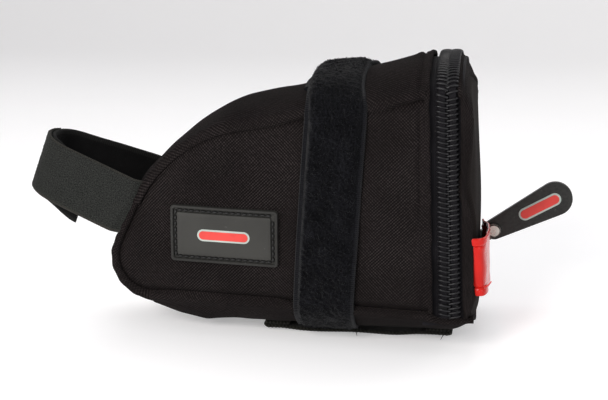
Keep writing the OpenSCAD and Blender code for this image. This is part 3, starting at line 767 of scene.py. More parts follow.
def gussetPanel(name, plain, grid, *replaced):
    panel = shell(name, grid, bag["fabric"], gussetUv(plain, grid))
    return dress(panel, "bag", paint["shellFabric"], "coated_fabric", *replaced)


# Body panels

topLook = {
    "rows": 120, "browRows": 70, "cols": 91, "sag": 0.55, "size": 46, "seed": 11,
    "lap": 0.9, "lapReach": 7, "lapOut": 0.5, "lapEnd": (28, 7), "fold": 2.0, "foldFrom": (8, 7),
    "foldTo": (21.5, 6), "browLap": 1.0, "browEnd": (-24, 10), "browOut": 0.6,
}


def makeTopPanel(look):
    run = joinRuns(topStations(look["rows"]), browStations(look["browRows"]))
    plain = gusset(run, look["cols"])
    grid = relieve(plain, look, hemCrease(runLength(plain, 0)))
    # the edge laps over the side seam, with a deeper fold behind the strap
    x = grid[..., 0]
    lap = smooth(1 - fromEdge(grid) / look["lapReach"])
    fold = ramp(x, *look["foldFrom"]) * (1 - ramp(x, *look["foldTo"]))
    browLap = look["browLap"] * (1 - ramp(x, *look["browEnd"]))
    rearLap = look["lap"] * (1 - ramp(x, *look["lapEnd"]))
    grid[..., 2] -= lap * (browLap + rearLap + look["fold"] * fold)
    grid[..., 1] += lap * (look["lapOut"] + look["browOut"] * browLap) * np.sign(grid[..., 1])
    return gussetPanel("topPanel", plain, grid, "top_panel")


noseLook = {"rows": 22, "toeRows": 26, "cols": 61, "sag": 0.35, "size": 30, "seed": 23}


def makeNosePanel(look):
    plain = gusset(joinRuns(noseStations(look["rows"]), toeStations(look["toeRows"])), look["cols"])
    return gussetPanel("nosePanel", plain, relieve(plain, look), "nose_panel")


bottomLook = {
    "rows": 110, "cols": 73, "size": 42, "seed": 37, "sag": 0.5,
    "end": 57.8, "turnUp": 4.0, "turnFrom": 44, "tuck": 1.6,
    "drop": 2.4, "dropAt": -55, "dropFront": 16, "dropBack": 9, "dropPower": 1.4, "toeRun": 12,
    "mouthDip": 2.4, "dipFrom": (39.5, 5), "dipReach": 9,
    "lap": 1.1, "lapOut": 0.7, "lapReach": 6, "lapEnd": (-24, 10),
    "heelFrom": (49, 8), "heelIn": 0.3, "heelUp": 1.7,
}


def makeBottomPanel(look):
    run = baseStations(look["rows"], look["end"])
    x = run["point"][:, 0]
    turn = np.clip((x - look["turnFrom"]) / (look["end"] - look["turnFrom"]), 0, 1)
    run["crown"] -= look["turnUp"] * turn ** 2
    fromDrop = x - look["dropAt"]
    dropWidth = np.where(fromDrop < 0, look["dropFront"], look["dropBack"])
    drop = np.exp(-np.abs(fromDrop / dropWidth) ** look["dropPower"])
    run["crown"] += look["drop"] * ramp(x, toeEnd[0], look["toeRun"]) * drop
    plain = gusset(run, look["cols"])
    plain[..., 1] *= (1 - look["tuck"] / mouthHalf * turn ** 2)[:, None]
    grid = relieve(plain, look)
    # the seam dips where the zip runs down into it
    x = grid[..., 0].copy()
    edge = fromEdge(grid)
    dip = ramp(x, *look["dipFrom"])
    grid[..., 2] -= look["mouthDip"] * dip * smooth(1 - edge / look["dipReach"])
    # a lip over the side seam in front, and both rear corners drawn in
    lap = smooth(1 - edge / look["lapReach"]) * (1 - ramp(x, *look["lapEnd"]))
    lap = lap * ramp(x, toeEnd[0], look["toeRun"])
    grid[..., 2] += look["lap"] * lap
    grid[..., 1] += look["lapOut"] * lap * np.sign(grid[..., 1])
    heel = ramp(x, *look["heelFrom"])
    phi = np.linspace(90, -90, look["cols"])[None]
    grid[..., 0] -= look["heelIn"] * heel * np.abs(sinD(phi)) ** 3
    grid[..., 2] += look["heelUp"] * heel * sinD(2 * phi) ** 2
    return gussetPanel("bottomPanel", plain, grid, "bottom_panel", "lid_floor")


topPanel = makeTopPanel(topLook)
nosePanel = makeNosePanel(noseLook)
bottomPanel = makeBottomPanel(bottomLook)

sideLook = {
    "lineSteps": 90, "arcSteps": 56, "rows": 72, "seamSteps": (160, 120, 60), "ease": 0.03, "reach": 12,
    "hemReach": 3, "swell": 0.5, "size": 44, "crease": 0.16, "creaseSize": 15, "creaseStretch": (1.0, 0.45),
    "hollow": 1.5, "hollowAt": (20, 90), "hollowSize": (9, 10),
    "pull": 0.7, "pullFrom": (20, 69), "pullTo": (38, 90), "pullWidth": 4.5, "pullEnd": 8,
}


def swell(x, z, s):
    noseX = (z - seamLow) * math.tan(math.radians(bag["noseLean"])) - bag["noseReach"]
    middle, reach = (hemX + noseX) / 2, (hemX - noseX) / 2
    return bag["sideSwell"] * (1 - s * s) * (1 - np.minimum(1, np.abs(x - middle) / reach) ** 4)


def sideGrid():
    lineSteps, arcSteps = sideLook["lineSteps"], sideLook["arcSteps"]
    upper = joinRuns(topStations(lineSteps), browStations(arcSteps))["point"]
    hemLow = lidPoint(-bag["hem"], seamLow)
    base = along(np.array([hemLow[0], seamLow]), toeEnd, np.linspace(0, 1, lineSteps))
    lower = np.concatenate([base, toeStations(arcSteps)["point"][::-1][1:], toeStart[None]])
    k = np.linspace(0, 1, sideLook["rows"])
    k = k - sideLook["ease"] * np.sin(4 * np.pi * k)
    return upper[:, None] + (lower - upper)[:, None] * k[None, :, None], 1 - 2 * k


def seamDistance(flat):
    # how far each point lies from the seam, and where along it
    line, arc, short = sideLook["seamSteps"]
    outline = joinRuns(topStations(line), browStations(arc), noseStations(short), toeStations(short),
                       baseStations(line, hemX))["point"]
    gap = np.linalg.norm(flat[:, :, None] - outline[None, None], axis=-1)
    nearest = gap.argmin(-1)
    return np.take_along_axis(gap, nearest[..., None], -1)[..., 0], runLength(outline, 0)[nearest]


flatSide, sideShare = sideGrid()
sideEdge, sideAlong = seamDistance(flatSide)


def strapFold(flat):
    # a hollow behind the strap, with a fold pulled from it to the mouth's upper corner
    look = sideLook
    across, up = [(flat[..., k] - look["hollowAt"][k]) / look["hollowSize"][k] for k in range(2)]
    start, end = np.array(look["pullFrom"]), np.array(look["pullTo"])
    aim = unit(end - start)
    run = (flat - start) @ aim
    off = (flat - start) @ np.array([-aim[1], aim[0]])
    over = run - np.linalg.norm(end - start)
    ends = smooth(run / look["pullEnd"] + 0.5) * (1 - smooth(over / look["pullEnd"] + 0.5))
    dent = look["hollow"] * np.exp(-across ** 2 - up ** 2)
    return look["pull"] * ends * bump(off, look["pullWidth"]) - dent


def sideSheet(name, side, outer, inner, flat, sharp=40):
    # the right side's rows run the other way, so that both face outwards
    if side > 0:
        outer, inner, flat = outer[::-1], inner[::-1], flat[::-1]
    return sheet(name, outer, inner, flat, sharp)


def sidePanel(name, side, seed, replaced):
    look = sideLook
    x, z = flatSide[..., 0], flatSide[..., 1]
    inside = smooth(sideEdge / look["reach"])
    push = seamRelief(sideSeam, sideEdge, sideAlong)
    push = push + inside * look["swell"] * softNoise(flatSide, look["size"], seed)
    creases = softNoise(flatSide * look["creaseStretch"], look["creaseSize"], seed + 3)
    push = push + inside * look["crease"] * creases
    push = push + hemCrease(flatSide[:1, :, 0] - x) * smooth(sideEdge / look["hemReach"])
    push = push + inside * strapFold(flatSide)
    y = halfWidth(x) + swell(x, z, sideShare[None, :]) + push
    outer = np.stack([x, side * y, z], -1)
    inner = outer - np.array([0, side * bag["fabric"], 0])
    panel = sideSheet(name, side, outer, inner, flatSide)
    return dress(panel, "bag", paint["shellFabric"], "coated_fabric", replaced)


leftSide = sidePanel("leftSidePanel", -1, 41, "left_side_panel")
rightSide = sidePanel("rightSidePanel", 1, 52, "right_side_panel")
print("body panels built")

# Lining pads, binding tape and fold tape inside the body

padLook = {
    "hem": 13.5, "inset": 9, "sink": 1.9, "edge": 1.0, "thick": 3.2, "crown": 4.5, "steps": 60, "rows": 56,
    "channel": 17, "sewn": (1.1, 0, 1.3), "sewnFrom": 4, "lump": 0.12, "lumpSize": 12, "fill": 0.55,
}
bindingLook = {
    "hem": 13.5, "near": 0.5, "far": 7.0, "sink": 2.3, "thick": 0.8, "steps": 90, "cols": 14,
    "wave": (0.15, 1.6),
}
foldLook = {
    "half": 20, "radius": 1.15, "height": 5.4, "steps": 60, "sides": 12,
    "bob": (0.08, 1.7), "sway": (0.15, 3.3),
}


def insetLine(run, inset):
    return run["point"] - polar(inset, run["outward"])


def liningPad(name, side, seed, replaced):
    look = padLook
    steps = look["steps"]
    upper = insetLine(joinRuns(topStations(steps, look["hem"]), browStations(steps)), look["inset"])
    base = baseStations(steps, lidPoint(-look["hem"], seamLow)[0])
    lower = insetLine(joinRuns(backwards(base), backwards(toeStations(steps))), look["inset"])
    k = np.linspace(0, 1, look["rows"])
    flat = upper[:, None] + (lower - upper)[:, None] * k[None, :, None]
    x, z = flat[..., 0], flat[..., 1]
    forth = runLength(flat, 0)
    edge = np.minimum(fromEdge(flat), np.minimum(forth, forth[-1:] - forth))
    # quilted in two directions
    rows = [(x + sign * z) / math.sqrt(2) % look["channel"] for sign in (-1, 1)]
    quilt = np.minimum(*[np.abs(row - look["channel"] / 2) for row in rows])
    thick = mix(look["edge"], look["thick"], np.sqrt(np.clip(edge / look["crown"], 0, 1)))
    thick = thick - ridge(quilt, *look["sewn"]) * smooth(edge / look["sewnFrom"])
    thick = thick + look["lump"] * softNoise(flat, look["lumpSize"], seed)
    y = halfWidth(x) + swell(x, z, (1 - 2 * k)[None]) - look["sink"]
    outer = np.stack([x, side * y, z], -1)
    inner = np.stack([x, side * (y - thick), z], -1)
    pad = sideSheet(name, side, outer, inner, flat, sharp=60)
    return dress(pad, "bag", paint["lining"], "foam", replaced)


def seamBinding(name, side, replaced):
    # along the whole seam from the hem over the brow, nose and toe and back to the hem
    look = bindingLook
    steps = look["steps"]
    end = lidPoint(-look["hem"], seamLow)[0]
    run = joinRuns(topStations(steps, look["hem"]), browStations(steps), noseStations(steps // 3),
                   toeStations(steps // 2), baseStations(steps, end))
    insets = np.linspace(look["near"], look["far"], look["cols"])
    flat = np.stack([insetLine(run, inset) for inset in insets], 1)
    ripple = wave(runLength(flat, 0), *look["wave"]) * np.linspace(0, 1, look["cols"])[None]
    y = halfWidth(flat[..., 0]) - look["sink"] + ripple
    grid = np.stack([flat[..., 0], side * y, flat[..., 1]], -1)
    tape = strip(name, grid[::-1] if side > 0 else grid, look["thick"])
    return dress(tape, "bag", paint["innerTape"], "binding", replaced)


def foldTape(look):
    # a rolled tape on the floor, along the lid's fold
    y = np.linspace(-look["half"], look["half"], look["steps"])
    spot = lidPoint(0.0, look["height"])
    floorZ = seamLow - (bag["crownLow"] - bag["fabric"]) * np.sqrt(1 - (y / mouthHalf) ** 2)
    z = np.maximum(spot[1], floorZ + look["radius"]) + wave(y, *look["bob"])
    path = np.stack([spot[0] + wave(y, *look["sway"]), y, z], -1)
    return tube("foldTape", path, look["radius"], look["sides"])


leftPad = liningPad("leftLiningPad", -1, 131, "left_side_foam")
rightPad = liningPad("rightLiningPad", 1, 133, "right_side_foam")
seamBinding("leftSeamBinding", -1, "left_seam_binding")
seamBinding("rightSeamBinding", 1, "right_seam_binding")
dress(foldTape(foldLook), "bag", paint["innerTape"], "binding", "lid_fold_roll")
print("inside built")

# The zip and the lid, in the lid's own coordinates: behind the zip line, across, and up along it

zipLook = {
    "tapeWidth": 11, "tapeThick": 0.7, "tapeSink": 0.35, "tapeEdge": 0.4, "rowGap": 0.9, "lidTapeEnd": 6.5,
    "tapeLow": 13.0, "lidTapeLow": 16.0, "tapeSteps": (70, 80), "tapeCols": 26, "lidTapeCols": 14,
    "coilLow": 16.4, "coilPath": (120, 240), "coilSteps": 2600, "coilSides": 7,
    "coilPitch": 1.985, "wire": 0.44, "coilAt": 1.95, "coilReach": 2.1, "coilRise": 0.62,
    "coilLift": 1.15, "coilTop": 1.0, "slant": 0.9, "leg": (0.56, 0.36), "head": (0.3, 0.5, 0.09),
    "stop": (0.75, 20.9, 2.6),
    "cordNear": 0.75, "cordFar": 3.5, "cordThick": 0.6, "cordSteps": 420, "cordCols": 9,
}


def lidWorld(x, y, z):
    flat = lidPoint(x, z)
    return np.stack([flat[..., 0], y + 0 * x, flat[..., 1]], -1)


def mouthPath(out, low, sideSteps, archSteps):
    # up the right side, over the arch and down the left side
    wide = mouthHalf + out
    angle = np.linspace(0, 180, archSteps)
    climb = np.linspace(low, seamHigh, sideSteps, endpoint=False)
    y = np.concatenate([np.full(sideSteps, wide), wide * cosD(angle), np.full(sideSteps, -wide)])
    z = np.concatenate([climb, seamHigh + (bag["crownTop"] + out) * sinD(angle), climb[::-1]])
    return np.stack([y, z], -1)


def evenPath(flat, count):
    run = runLength(flat, 0)
    at = np.linspace(0, run[-1], count)
    return pointsAt(at, run, flat), at


def zipTape(name, near, far, cols, low):
    path = mouthPath(-bag["recess"] - zipLook["tapeSink"], low, *zipLook["tapeSteps"])
    x = np.linspace(near, far, cols)[None]
    grid = lidWorld(x + 0 * path[:, :1], path[:, :1], path[:, 1:] + 0 * x)
    return strip(name, grid, zipLook["tapeThick"], zipLook["tapeEdge"])


def coilLine(count):
    # the run of a coil, with its directions along and outwards and its lift off the tape
    path, at = evenPath(mouthPath(-bag["recess"], zipLook["coilLow"], *zipLook["coilPath"]), count)
    tangent = unit(np.gradient(path, axis=0))
    outward = np.stack([tangent[:, 1], -tangent[:, 0]], -1)
    lift = zipLook["coilLift"] + zipLook["coilTop"] * ramp(path[:, 1], seamHigh, bag["crownTop"])
    return path, at, tangent, outward, lift


def coilRow(name, side, phase):
    # a flattened helix of nylon wire laid along the mouth
    look = zipLook
    path, at, tangent, outward, lift = coilLine(look["coilSteps"])
    pitch = at[-1] / round(at[-1] / look["coilPitch"])
    turns = at / pitch + phase
    whole, part = np.floor(turns), turns % 1
    theta = 2 * np.pi * part
    # the upper leg of a turn lies square to the zip, and the lower leg steps on to the next
    step = (whole + ramp(part, *look["leg"]) - turns) * pitch
    step = step + look["slant"] * (0.5 - np.cos(theta) / 2)
    across = side * (look["coilAt"] + look["coilReach"] * np.cos(theta))
    height = lift + look["coilRise"] * np.sin(theta) + ridge(path[:, 1], *look["stop"])
    flat = path + outward * height[:, None] + tangent * step[:, None]
    radius = look["wire"] * (1 + ridge(part, *look["head"]))
    return tube(name, lidWorld(across, flat[:, 0], flat[:, 1]), radius, look["coilSides"])


def coilCord(name, side):
    # the flat filler cord that runs inside a coil
    path, _, _, outward, lift = coilLine(zipLook["cordSteps"])
    flat = path + outward * lift[:, None]
    across = side * np.linspace(zipLook["cordNear"], zipLook["cordFar"], zipLook["cordCols"])[None]
    across = across * np.ones((len(flat), 1))
    grid = lidWorld(across, flat[:, :1] + 0 * across, flat[:, 1:] + 0 * across)
    return strip(name, grid[::side], zipLook["cordThick"], zipLook["cordThick"] / 2)


bodyTape = zipTape("bodyZipTape", -zipLook["tapeWidth"], -zipLook["rowGap"], zipLook["tapeCols"],
                   zipLook["tapeLow"])
dress(bodyTape, "bag", paint["zipTape"], "zip_tape", "body_zip_tape")
lidTape = zipTape("lidZipTape", zipLook["rowGap"], zipLook["lidTapeEnd"], zipLook["lidTapeCols"],
                  zipLook["lidTapeLow"])
dressLid(lidTape, paint["zipTape"], "zip_tape", "lid_zip_tape")
dress(coilRow("bodyZipCoil", -1, 0.0), "bag", paint["coilNylon"], "zip_coil", "body_zip_coil")
dressLid(coilRow("lidZipCoil", 1, 0.5), paint["coilNylon"], "zip_coil", "lid_zip_coil")
dress(coilCord("bodyZipCord", -1), "bag", paint["zipTape"], "zip_coil")
dressLid(coilCord("lidZipCord", 1), paint["zipTape"], "zip_coil")

hemRollLook = {
    "sink": 0.75, "shift": 0.3, "radius": 1.05, "path": (80, 120), "steps": 420, "sides": 10,
    "ripple": (0.12, 2.3), "fine": (0.1, 1.3, 1), "swell": (0.08, 3.1),
}


def hemRoll(look):
    # the turned edge of the body's panels beside the zip
    path, at = evenPath(mouthPath(-look["sink"], seamLow, *look["path"]), look["steps"])
    ripple = wave(at, *look["ripple"]) + wave(at, *look["fine"])
    radius = look["radius"] + wave(at, *look["swell"])
    line = lidWorld(-bag["hem"] + look["shift"] + ripple, path[:, 0], path[:, 1])
    return tube("hemRoll", line, radius, look["sides"])


dress(hemRoll(hemRollLook), "bag", paint["shellFabric"], "coated_fabric")

# The lid's own shape, shared by its border and its rear face
lidLook = {
    "hem": 5.2, "depth": 8.4, "proud": 1.7, "pinchTop": 2.4, "fall": 13, "fallShare": 0.6, "fallFrom": 60,
    "seamLap": 1.9, "cornerLap": 0.08, "taper": 3, "bulge": 1.0, "roll": 1.5, "dip": 1.7,
    "notch": 4.4, "notchAt": 70, "notchBelow": 9.5, "notchAbove": 17, "rim": (0.7, 2.2, 1.1),
    "heel": 3.3, "heelTop": 27, "heelRun": 14,
    "tuckIn": 3.2, "tuckTop": 21.5, "tuckRun": 5.5, "tuckEase": 0.7,
}


def lidNotch(z):
    gap = z - lidLook["notchAt"]
    return lidLook["notch"] * bump(gap, np.where(gap < 0, lidLook["notchBelow"], lidLook["notchAbove"]))


def lidHeel(z):
    # the lid's lower corners are drawn in towards the base
    return lidLook["heel"] * smooth((lidLook["heelTop"] - z) / lidLook["heelRun"])


def lidRim(f, angle, climb):
    # a ring of the border: f runs from the zip to the rear seam, climb is the height on a straight side
    look = lidLook
    fall = look["fall"] * f
    onTop = sinD(angle) ** 2
    end = look["depth"] + look["proud"] * (1 - onTop) - look["pinchTop"] * onTop
    end = end - (lidNotch(climb) + lidHeel(climb)) * (1 - onTop)
    x = mix(look["hem"], end, f)
    tuck = look["tuckIn"] * smooth((look["tuckTop"] - climb) / look["tuckRun"])
    y = (mouthHalf - look["taper"] * f * f - tuck * (1 - look["tuckEase"] * f)) * cosD(angle)
    z = climb - look["fallShare"] * fall * ramp(climb, look["fallFrom"], seamHigh - look["fallFrom"])
    z = z + (bag["crownTop"] - (1 - look["fallShare"]) * fall - look["dip"] * (1 - f) ** 2) * sinD(angle)
    return lidWorld(x, y, z)


borderLook = {
    "steps": 90, "cols": 26, "under": 3.4, "thick": 1.3, "swell": 0.9, "lump": 0.25, "lumpSize": 26,
    "seed": 61, "groove": (1.0, 0, 1.0), "stitch": (0.12, 2.6, 0.6),
}


def lidBorder(look):
    steps = look["steps"]
    side = np.linspace(bag["zipLow"] - look["under"], seamHigh, steps, endpoint=False)
    climb = np.concatenate([side, np.full(steps, seamHigh), side[::-1]])[:, None]
    angle = np.concatenate([np.zeros(steps), np.linspace(0, 180, steps), np.full(steps, 180.0)])[:, None]
    f = np.linspace(0, 1, look["cols"])[None]
    grid = lidRim(f, angle + 0 * f, climb + 0 * f)
    across = runLength(grid, 1)
    left = across[:, -1:] - across
    # the edge by the zip is turned in, and the border swells between its two seams
    turn = np.clip(1 - across / lidLook["roll"], 0, 1)
    arc = np.sin(np.pi * across / across[:, -1:]).clip(0)
    push = look["swell"] * arc ** 1.5 + look["lump"] * arc * softNoise(grid, look["lumpSize"], look["seed"])
    push = push - lidLook["roll"] * (1 - np.sqrt(np.clip(1 - turn ** 2, 0, 1)))
    push = push - ridge(left, *look["groove"]) - ridge(across, *look["stitch"])
    push = push + ridge(left, *lidLook["rim"])
    return shell("lidBorder", pushOut(grid, push), look["thick"], np.stack([runLength(grid, 0), across], -1))


border = dressLid(lidBorder(borderLook), paint["shellFabric"], "coated_fabric", "lid_border")

rearLook = {
    "rows": 73, "cols": 81, "ease": 0.04, "thick": 1.4, "lowSet": 0.3, "out": 1.6, "wider": 0.2,
    "foot": 3.4, "footRun": 10, "reach": 8, "lump": 0.35, "lumpSize": 34, "seed": 71,
    "groove": (0.9, 0, 1.1), "roll": (0.35, 2.8, 1.4),
}


def rearFace(look):
    angle = np.linspace(0, 180, look["rows"])[:, None]
    onTop = sinD(angle) ** 2
    w = np.linspace(0, 1, look["cols"])[None]
    w = w - look["ease"] * np.sin(2 * np.pi * w)
    # each column runs from the floor up to the border's seam
    low = seamLow - (bag["crownLow"] - bag["fabric"]) * mix(lidLook["cornerLap"], 1, sinD(angle))
    low = low + bottomLook["heelUp"] * sinD(2 * angle) ** 2
    arch = bag["crownTop"] - (1 - lidLook["fallShare"]) * lidLook["fall"] + lidLook["seamLap"]
    high = seamHigh - lidLook["fallShare"] * lidLook["fall"] + arch * sinD(angle)
    z = mix(low, high, w)
    x = mix(lidLook["depth"] + look["lowSet"], lidLook["depth"] - lidLook["pinchTop"] * onTop, w ** 6)
    x = x + lidLook["bulge"] * onTop * (1 - (2 * w - 1) ** 2) - lidNotch(z) * np.abs(cosD(angle)) ** 6
    foot = np.clip(1 - (z - low) / look["footRun"], 0, 1) ** 2
    x = x + look["out"] - look["foot"] * foot * onTop - lidHeel(z) * (1 - onTop)
    half = mouthHalf - lidLook["taper"]
    y = -(half + look["wider"]) * cosD(angle) + 0 * w
    grid = lidWorld(x, y, z)
    edge = np.minimum(np.minimum(np.abs(y + half), np.abs(y - half)), high - z)
    push = smooth(edge / look["reach"]) * look["lump"] * softNoise(grid, look["lumpSize"], look["seed"])
    push = push - ridge(edge, *look["groove"]) + ridge(edge, *look["roll"])
    return shell("rearPanel", pushOut(grid, push), look["thick"])


rearPanel = dressLid(rearFace(rearLook), paint["rearFabric"], "rear_fabric", "rear_panel")

lidLiningLook = {
    "half": 30, "low": 26, "high": 98, "x": 6.2, "thick": 0.8, "steps": 41,
    "bow": 0.5, "bowRun": 20, "lean": 2.0, "leanFrom": (80, 25),
}


def lidLining(look):
    y = np.linspace(-look["half"], look["half"], look["steps"])[:, None]
    z = np.linspace(look["high"], look["low"], look["steps"])[None]
    lean = look["lean"] * ramp(z, *look["leanFrom"])
    x = look["x"] + look["bow"] * np.cos(y / look["bowRun"]) - lean
    return shell("lidLining", lidWorld(x, y + 0 * z, z + 0 * y), look["thick"])


lining = dressLid(lidLining(lidLiningLook), paint["lining"], "board", "lid_board")
print("zip and lid built")

# The light loop: sewn to the rear face at its far end and wrapped over the lid's near corner

loopLook = {
    "far": 29, "height": 24, "middle": 37.5, "stand": 14.2, "face": 11.6, "thick": 0.9, "tilt": 9.5,
    "corner": 35.6, "lean": -0.03, "seamX": 8.2, "seamLean": 0.2, "steps": 150, "cols": 65, "soften": 60,
    "hem": 3.0, "hemRise": 0.45, "hemEdge": 0.3, "hemRun": 0.7, "groove": (0.4, 0.4, 0.55),
    "nearEnd": -30, "calmRun": 8, "calm": 0.6, "lump": 0.22, "lumpSize": 15, "seed": 83,
}


def loopPath(z):
    # from the far end on the rear face, along behind it, round the near corner and into the lid's seam
    look = loopLook
    face, stand, far = look["face"], look["stand"], look["far"]
    below = look["middle"] - z
    seamX = look["seamX"] + look["seamLean"] * below
    near = -look["corner"] - look["lean"] * below
    corners = np.array([
        [face, far + 3], [face + 0.2, far], [stand, far - 9], [stand + 0.6, 0], [stand, near + 3.2],
        [stand - 1.6, near - 0.3], [seamX + 2.6, near + 0.1], [seamX, near + 1.5]])
    path, _ = evenPath(corners, look["steps"])
    return relax(path, look["soften"])


def lightLoop(look):
    v = np.linspace(-0.5, 0.5, look["cols"])
    columns = []
    for share in v:
        z = look["middle"] + share * look["height"]
        path = loopPath(z)
        drop = np.clip((path[:, 1] - look["nearEnd"]) / (look["far"] - look["nearEnd"]), 0, 1)
        columns.append(lidWorld(path[:, 0], path[:, 1], z - look["tilt"] * drop))
    grid = np.stack(columns, 1)[:, ::-1]
    # thicker hems with a stitched groove beside them
    edge = (0.5 - np.abs(v[::-1])) * look["height"]
    hem = look["hemRise"] * smooth((look["hem"] + look["hemEdge"] - edge) / look["hemRun"])
    hem = hem - ridge(edge - look["hem"], *look["groove"])
    calm = 1 - look["calm"] * ramp(grid[..., 1], look["nearEnd"], look["calmRun"])
    lumps = softNoise(grid * [1, 1, 1.3], look["lumpSize"], look["seed"])
    return strip("lightLoop", pushOut(grid, calm * (hem[None] + look["lump"] * lumps)), look["thick"])


loop = dressLid(lightLoop(loopLook), paint["redVinyl"], "red_vinyl", "light_loop")

loopThreadLook = {
    "start": (60.5, -32.5, 29.2), "way": (3.9, -1.2, 0.4), "curl": (0, -0.5, 2.6), "radius": 0.32,
}


def loopThread(look):
    # a loose end of the lower seam
    t = np.linspace(0, 1, 14)[:, None]
    path = np.array(look["start"]) + np.array(look["way"]) * t + np.array(look["curl"]) * t ** 3
    return tube("loopThread", path, look["radius"] * (1 - 0.5 * t[:, 0] ** 4), 7)


dressLid(loopThread(loopThreadLook), paint["redThread"], "red_vinyl")

# The main strap: two lapped halves of pile tape

strapLook = {
    "width": 25, "thick": 2.0, "gap": 0.3, "lean": 3.5, "rightEnd": -30, "leftEnd": 38, "split": -38,
    "lapStart": -68, "lapRun": 24, "crown": 0.7, "crownFrom": (-84, 40), "tilt": -0.16,
    "chamfer": 2.6, "chamferRear": 1.5, "chamferFrom": (8, 4.5), "cols": 52,
    "pinch": 0.1, "slide": 1.0, "slip": 2.4, "overRun": 55, "underFrom": 40, "underRun": 50,
    "step": 0.6, "soften": 26, "selvedge": 2.0, "selvedgeRun": 0.8, "edgeRound": 0.7,
    "pile": 0.2, "pileRise": 0.25, "tuftSize": 1.6, "clump": 0.6, "clumpSize": 4.5,
    "ripple": 0.25, "rippleSize": 24,
}
strapX = np.linspace(strapLook["width"] / 2, -strapLook["width"] / 2, strapLook["cols"])[None]
strapOut = strapLook["gap"] + strapLook["thick"] / 2


def strapShift(z):
    return math.tan(math.radians(strapLook["lean"])) * (z - (seamLow + seamHigh) / 2)


def arch(px, pz, aim, wide, rise, phi):
    up = rise * cosD(phi)
    return np.stack(np.broadcast_arrays(px + up * cosD(aim), wide * sinD(phi), pz + up * sinD(aim)), -1)


def strapTop(x, phi, out):
    px = x + strapShift(roof(x))
    t = (hemHigh[0] - px) / (hemHigh[0] - browStart[0])
    crown = mix(bag["crownTop"], bag["crownBrow"], t)
    return arch(px, roof(px), 90 + bag["mouthLean"] * (1 - t), halfWidth(px) + out, crown + out, phi)


def strapBase(phi):
    px = strapX + strapShift(seamLow)
    aim, crown = baseCurve(px)
    return arch(px, seamLow, aim, halfWidth(px) + strapOut, crown + strapOut, phi)


def strapSide(side, s):
    z = mix(seamLow, roof(strapX + strapShift(roof(strapX))), (s + 1) / 2)
    px = strapX + strapShift(z)
    return np.stack([px, side * (halfWidth(px) + swell(px, z, s) + strapOut), z], -1)


def resample(grid, step):
    # even rows along the strap
    run = runLength(grid, 0)
    middle = run[:, run.shape[1] // 2]
    at = np.linspace(0, middle[-1], int(middle[-1] / step))
    return pointsAt(at, middle, grid.reshape(len(grid), -1)).reshape(len(at), *grid.shape[1:])


fuzzLook = {"count": 1700, "rise": 0.55, "reach": 0.55, "radius": 0.085, "sink": 0.15}
strapSkins = {}


def strapFuzz(name, skin, seed):
    # small loops of yarn that stand out of the pile
    rng = np.random.default_rng(seed)
    normal = gridNormals(skin)
    t = np.linspace(-1, 1, 5)[:, None]
    parts = []
    for _ in range(fuzzLook["count"]):
        row, col = rng.integers(2, skin.shape[0] - 2), rng.integers(5, skin.shape[1] - 5)
        out = normal[row, col]
        way = np.cross(out, rng.normal(size=3)) * fuzzLook["reach"]
        rise = fuzzLook["rise"] * rng.uniform(0.5, 1.3)
        path = skin[row, col] + way * t + out * (rise * (1 - t ** 2) - fuzzLook["sink"])
        parts.append(tubeParts(path, fuzzLook["radius"], 3, up=out + 0.01))
    return yarns(name, parts, sharp=90)


def strapStrip(name, rows, seed):
    look = strapLook
    grid = relax(resample(rows, look["step"]), look["soften"])
    pile = ramp(fromEdge(grid), look["selvedge"], look["selvedgeRun"])
    tufts = softNoise(grid, look["tuftSize"], seed, 18)
    tufts = tufts + look["clump"] * softNoise(grid, look["clumpSize"], seed + 1, 12)
    lift = pile * (look["pileRise"] + look["pile"] * tufts) - look["pileRise"] * (1 - pile)
    grid = pushOut(grid, look["ripple"] * softNoise(grid * [0.6, 1, 1], look["rippleSize"], seed + 2))
    strapSkins[name] = pushOut(grid, look["thick"] / 2 + lift)
    return strip(name, grid, look["thick"], look["edgeRound"], lift)


def leftStrap(look):
    base = strapBase(np.linspace(look["split"], -90, 14)[:, None])
    side = strapSide(-1, np.linspace(-1, 1, 60)[1:, None] + 0 * strapX)
    phi = np.linspace(-90, look["leftEnd"], 60)[1:, None]
    lap = (look["thick"] + look["gap"]) * np.clip((phi - look["lapStart"]) / look["lapRun"], 0, 1)
    # crowned over the top, tilted, and flattened towards both edges
    profile = look["crown"] * (1 - np.abs(2 * strapX / look["width"]) ** 3) + look["tilt"] * strapX
    profile = profile - look["chamfer"] * ramp(-strapX, *look["chamferFrom"])
    profile = profile - look["chamferRear"] * ramp(strapX, *look["chamferFrom"])
    crown = ramp(phi, *look["crownFrom"]) * profile
    over = ramp(phi, -90, look["overRun"])
    x = strapX * (1 - look["pinch"] * over) - look["slide"] * over
    top = strapTop(x, phi, strapOut + lap + crown)
    return strapStrip("mainStrapLeft", np.concatenate([base, side, top]), 91)


def rightStrap(look):
    phi = np.linspace(look["rightEnd"], 90, 50)[:, None]
    under = smooth((look["underFrom"] - phi) / look["underRun"])
    x = strapX * (1 - look["pinch"] * under) - (look["slide"] + look["slip"]) * under
    top = strapTop(x, phi, strapOut)
    side = strapSide(1, np.linspace(1, -1, 60)[1:, None] + 0 * strapX)
    base = strapBase(np.linspace(90, look["split"], 50)[1:, None])
    return strapStrip("mainStrapRight", np.concatenate([top, side, base]), 101)


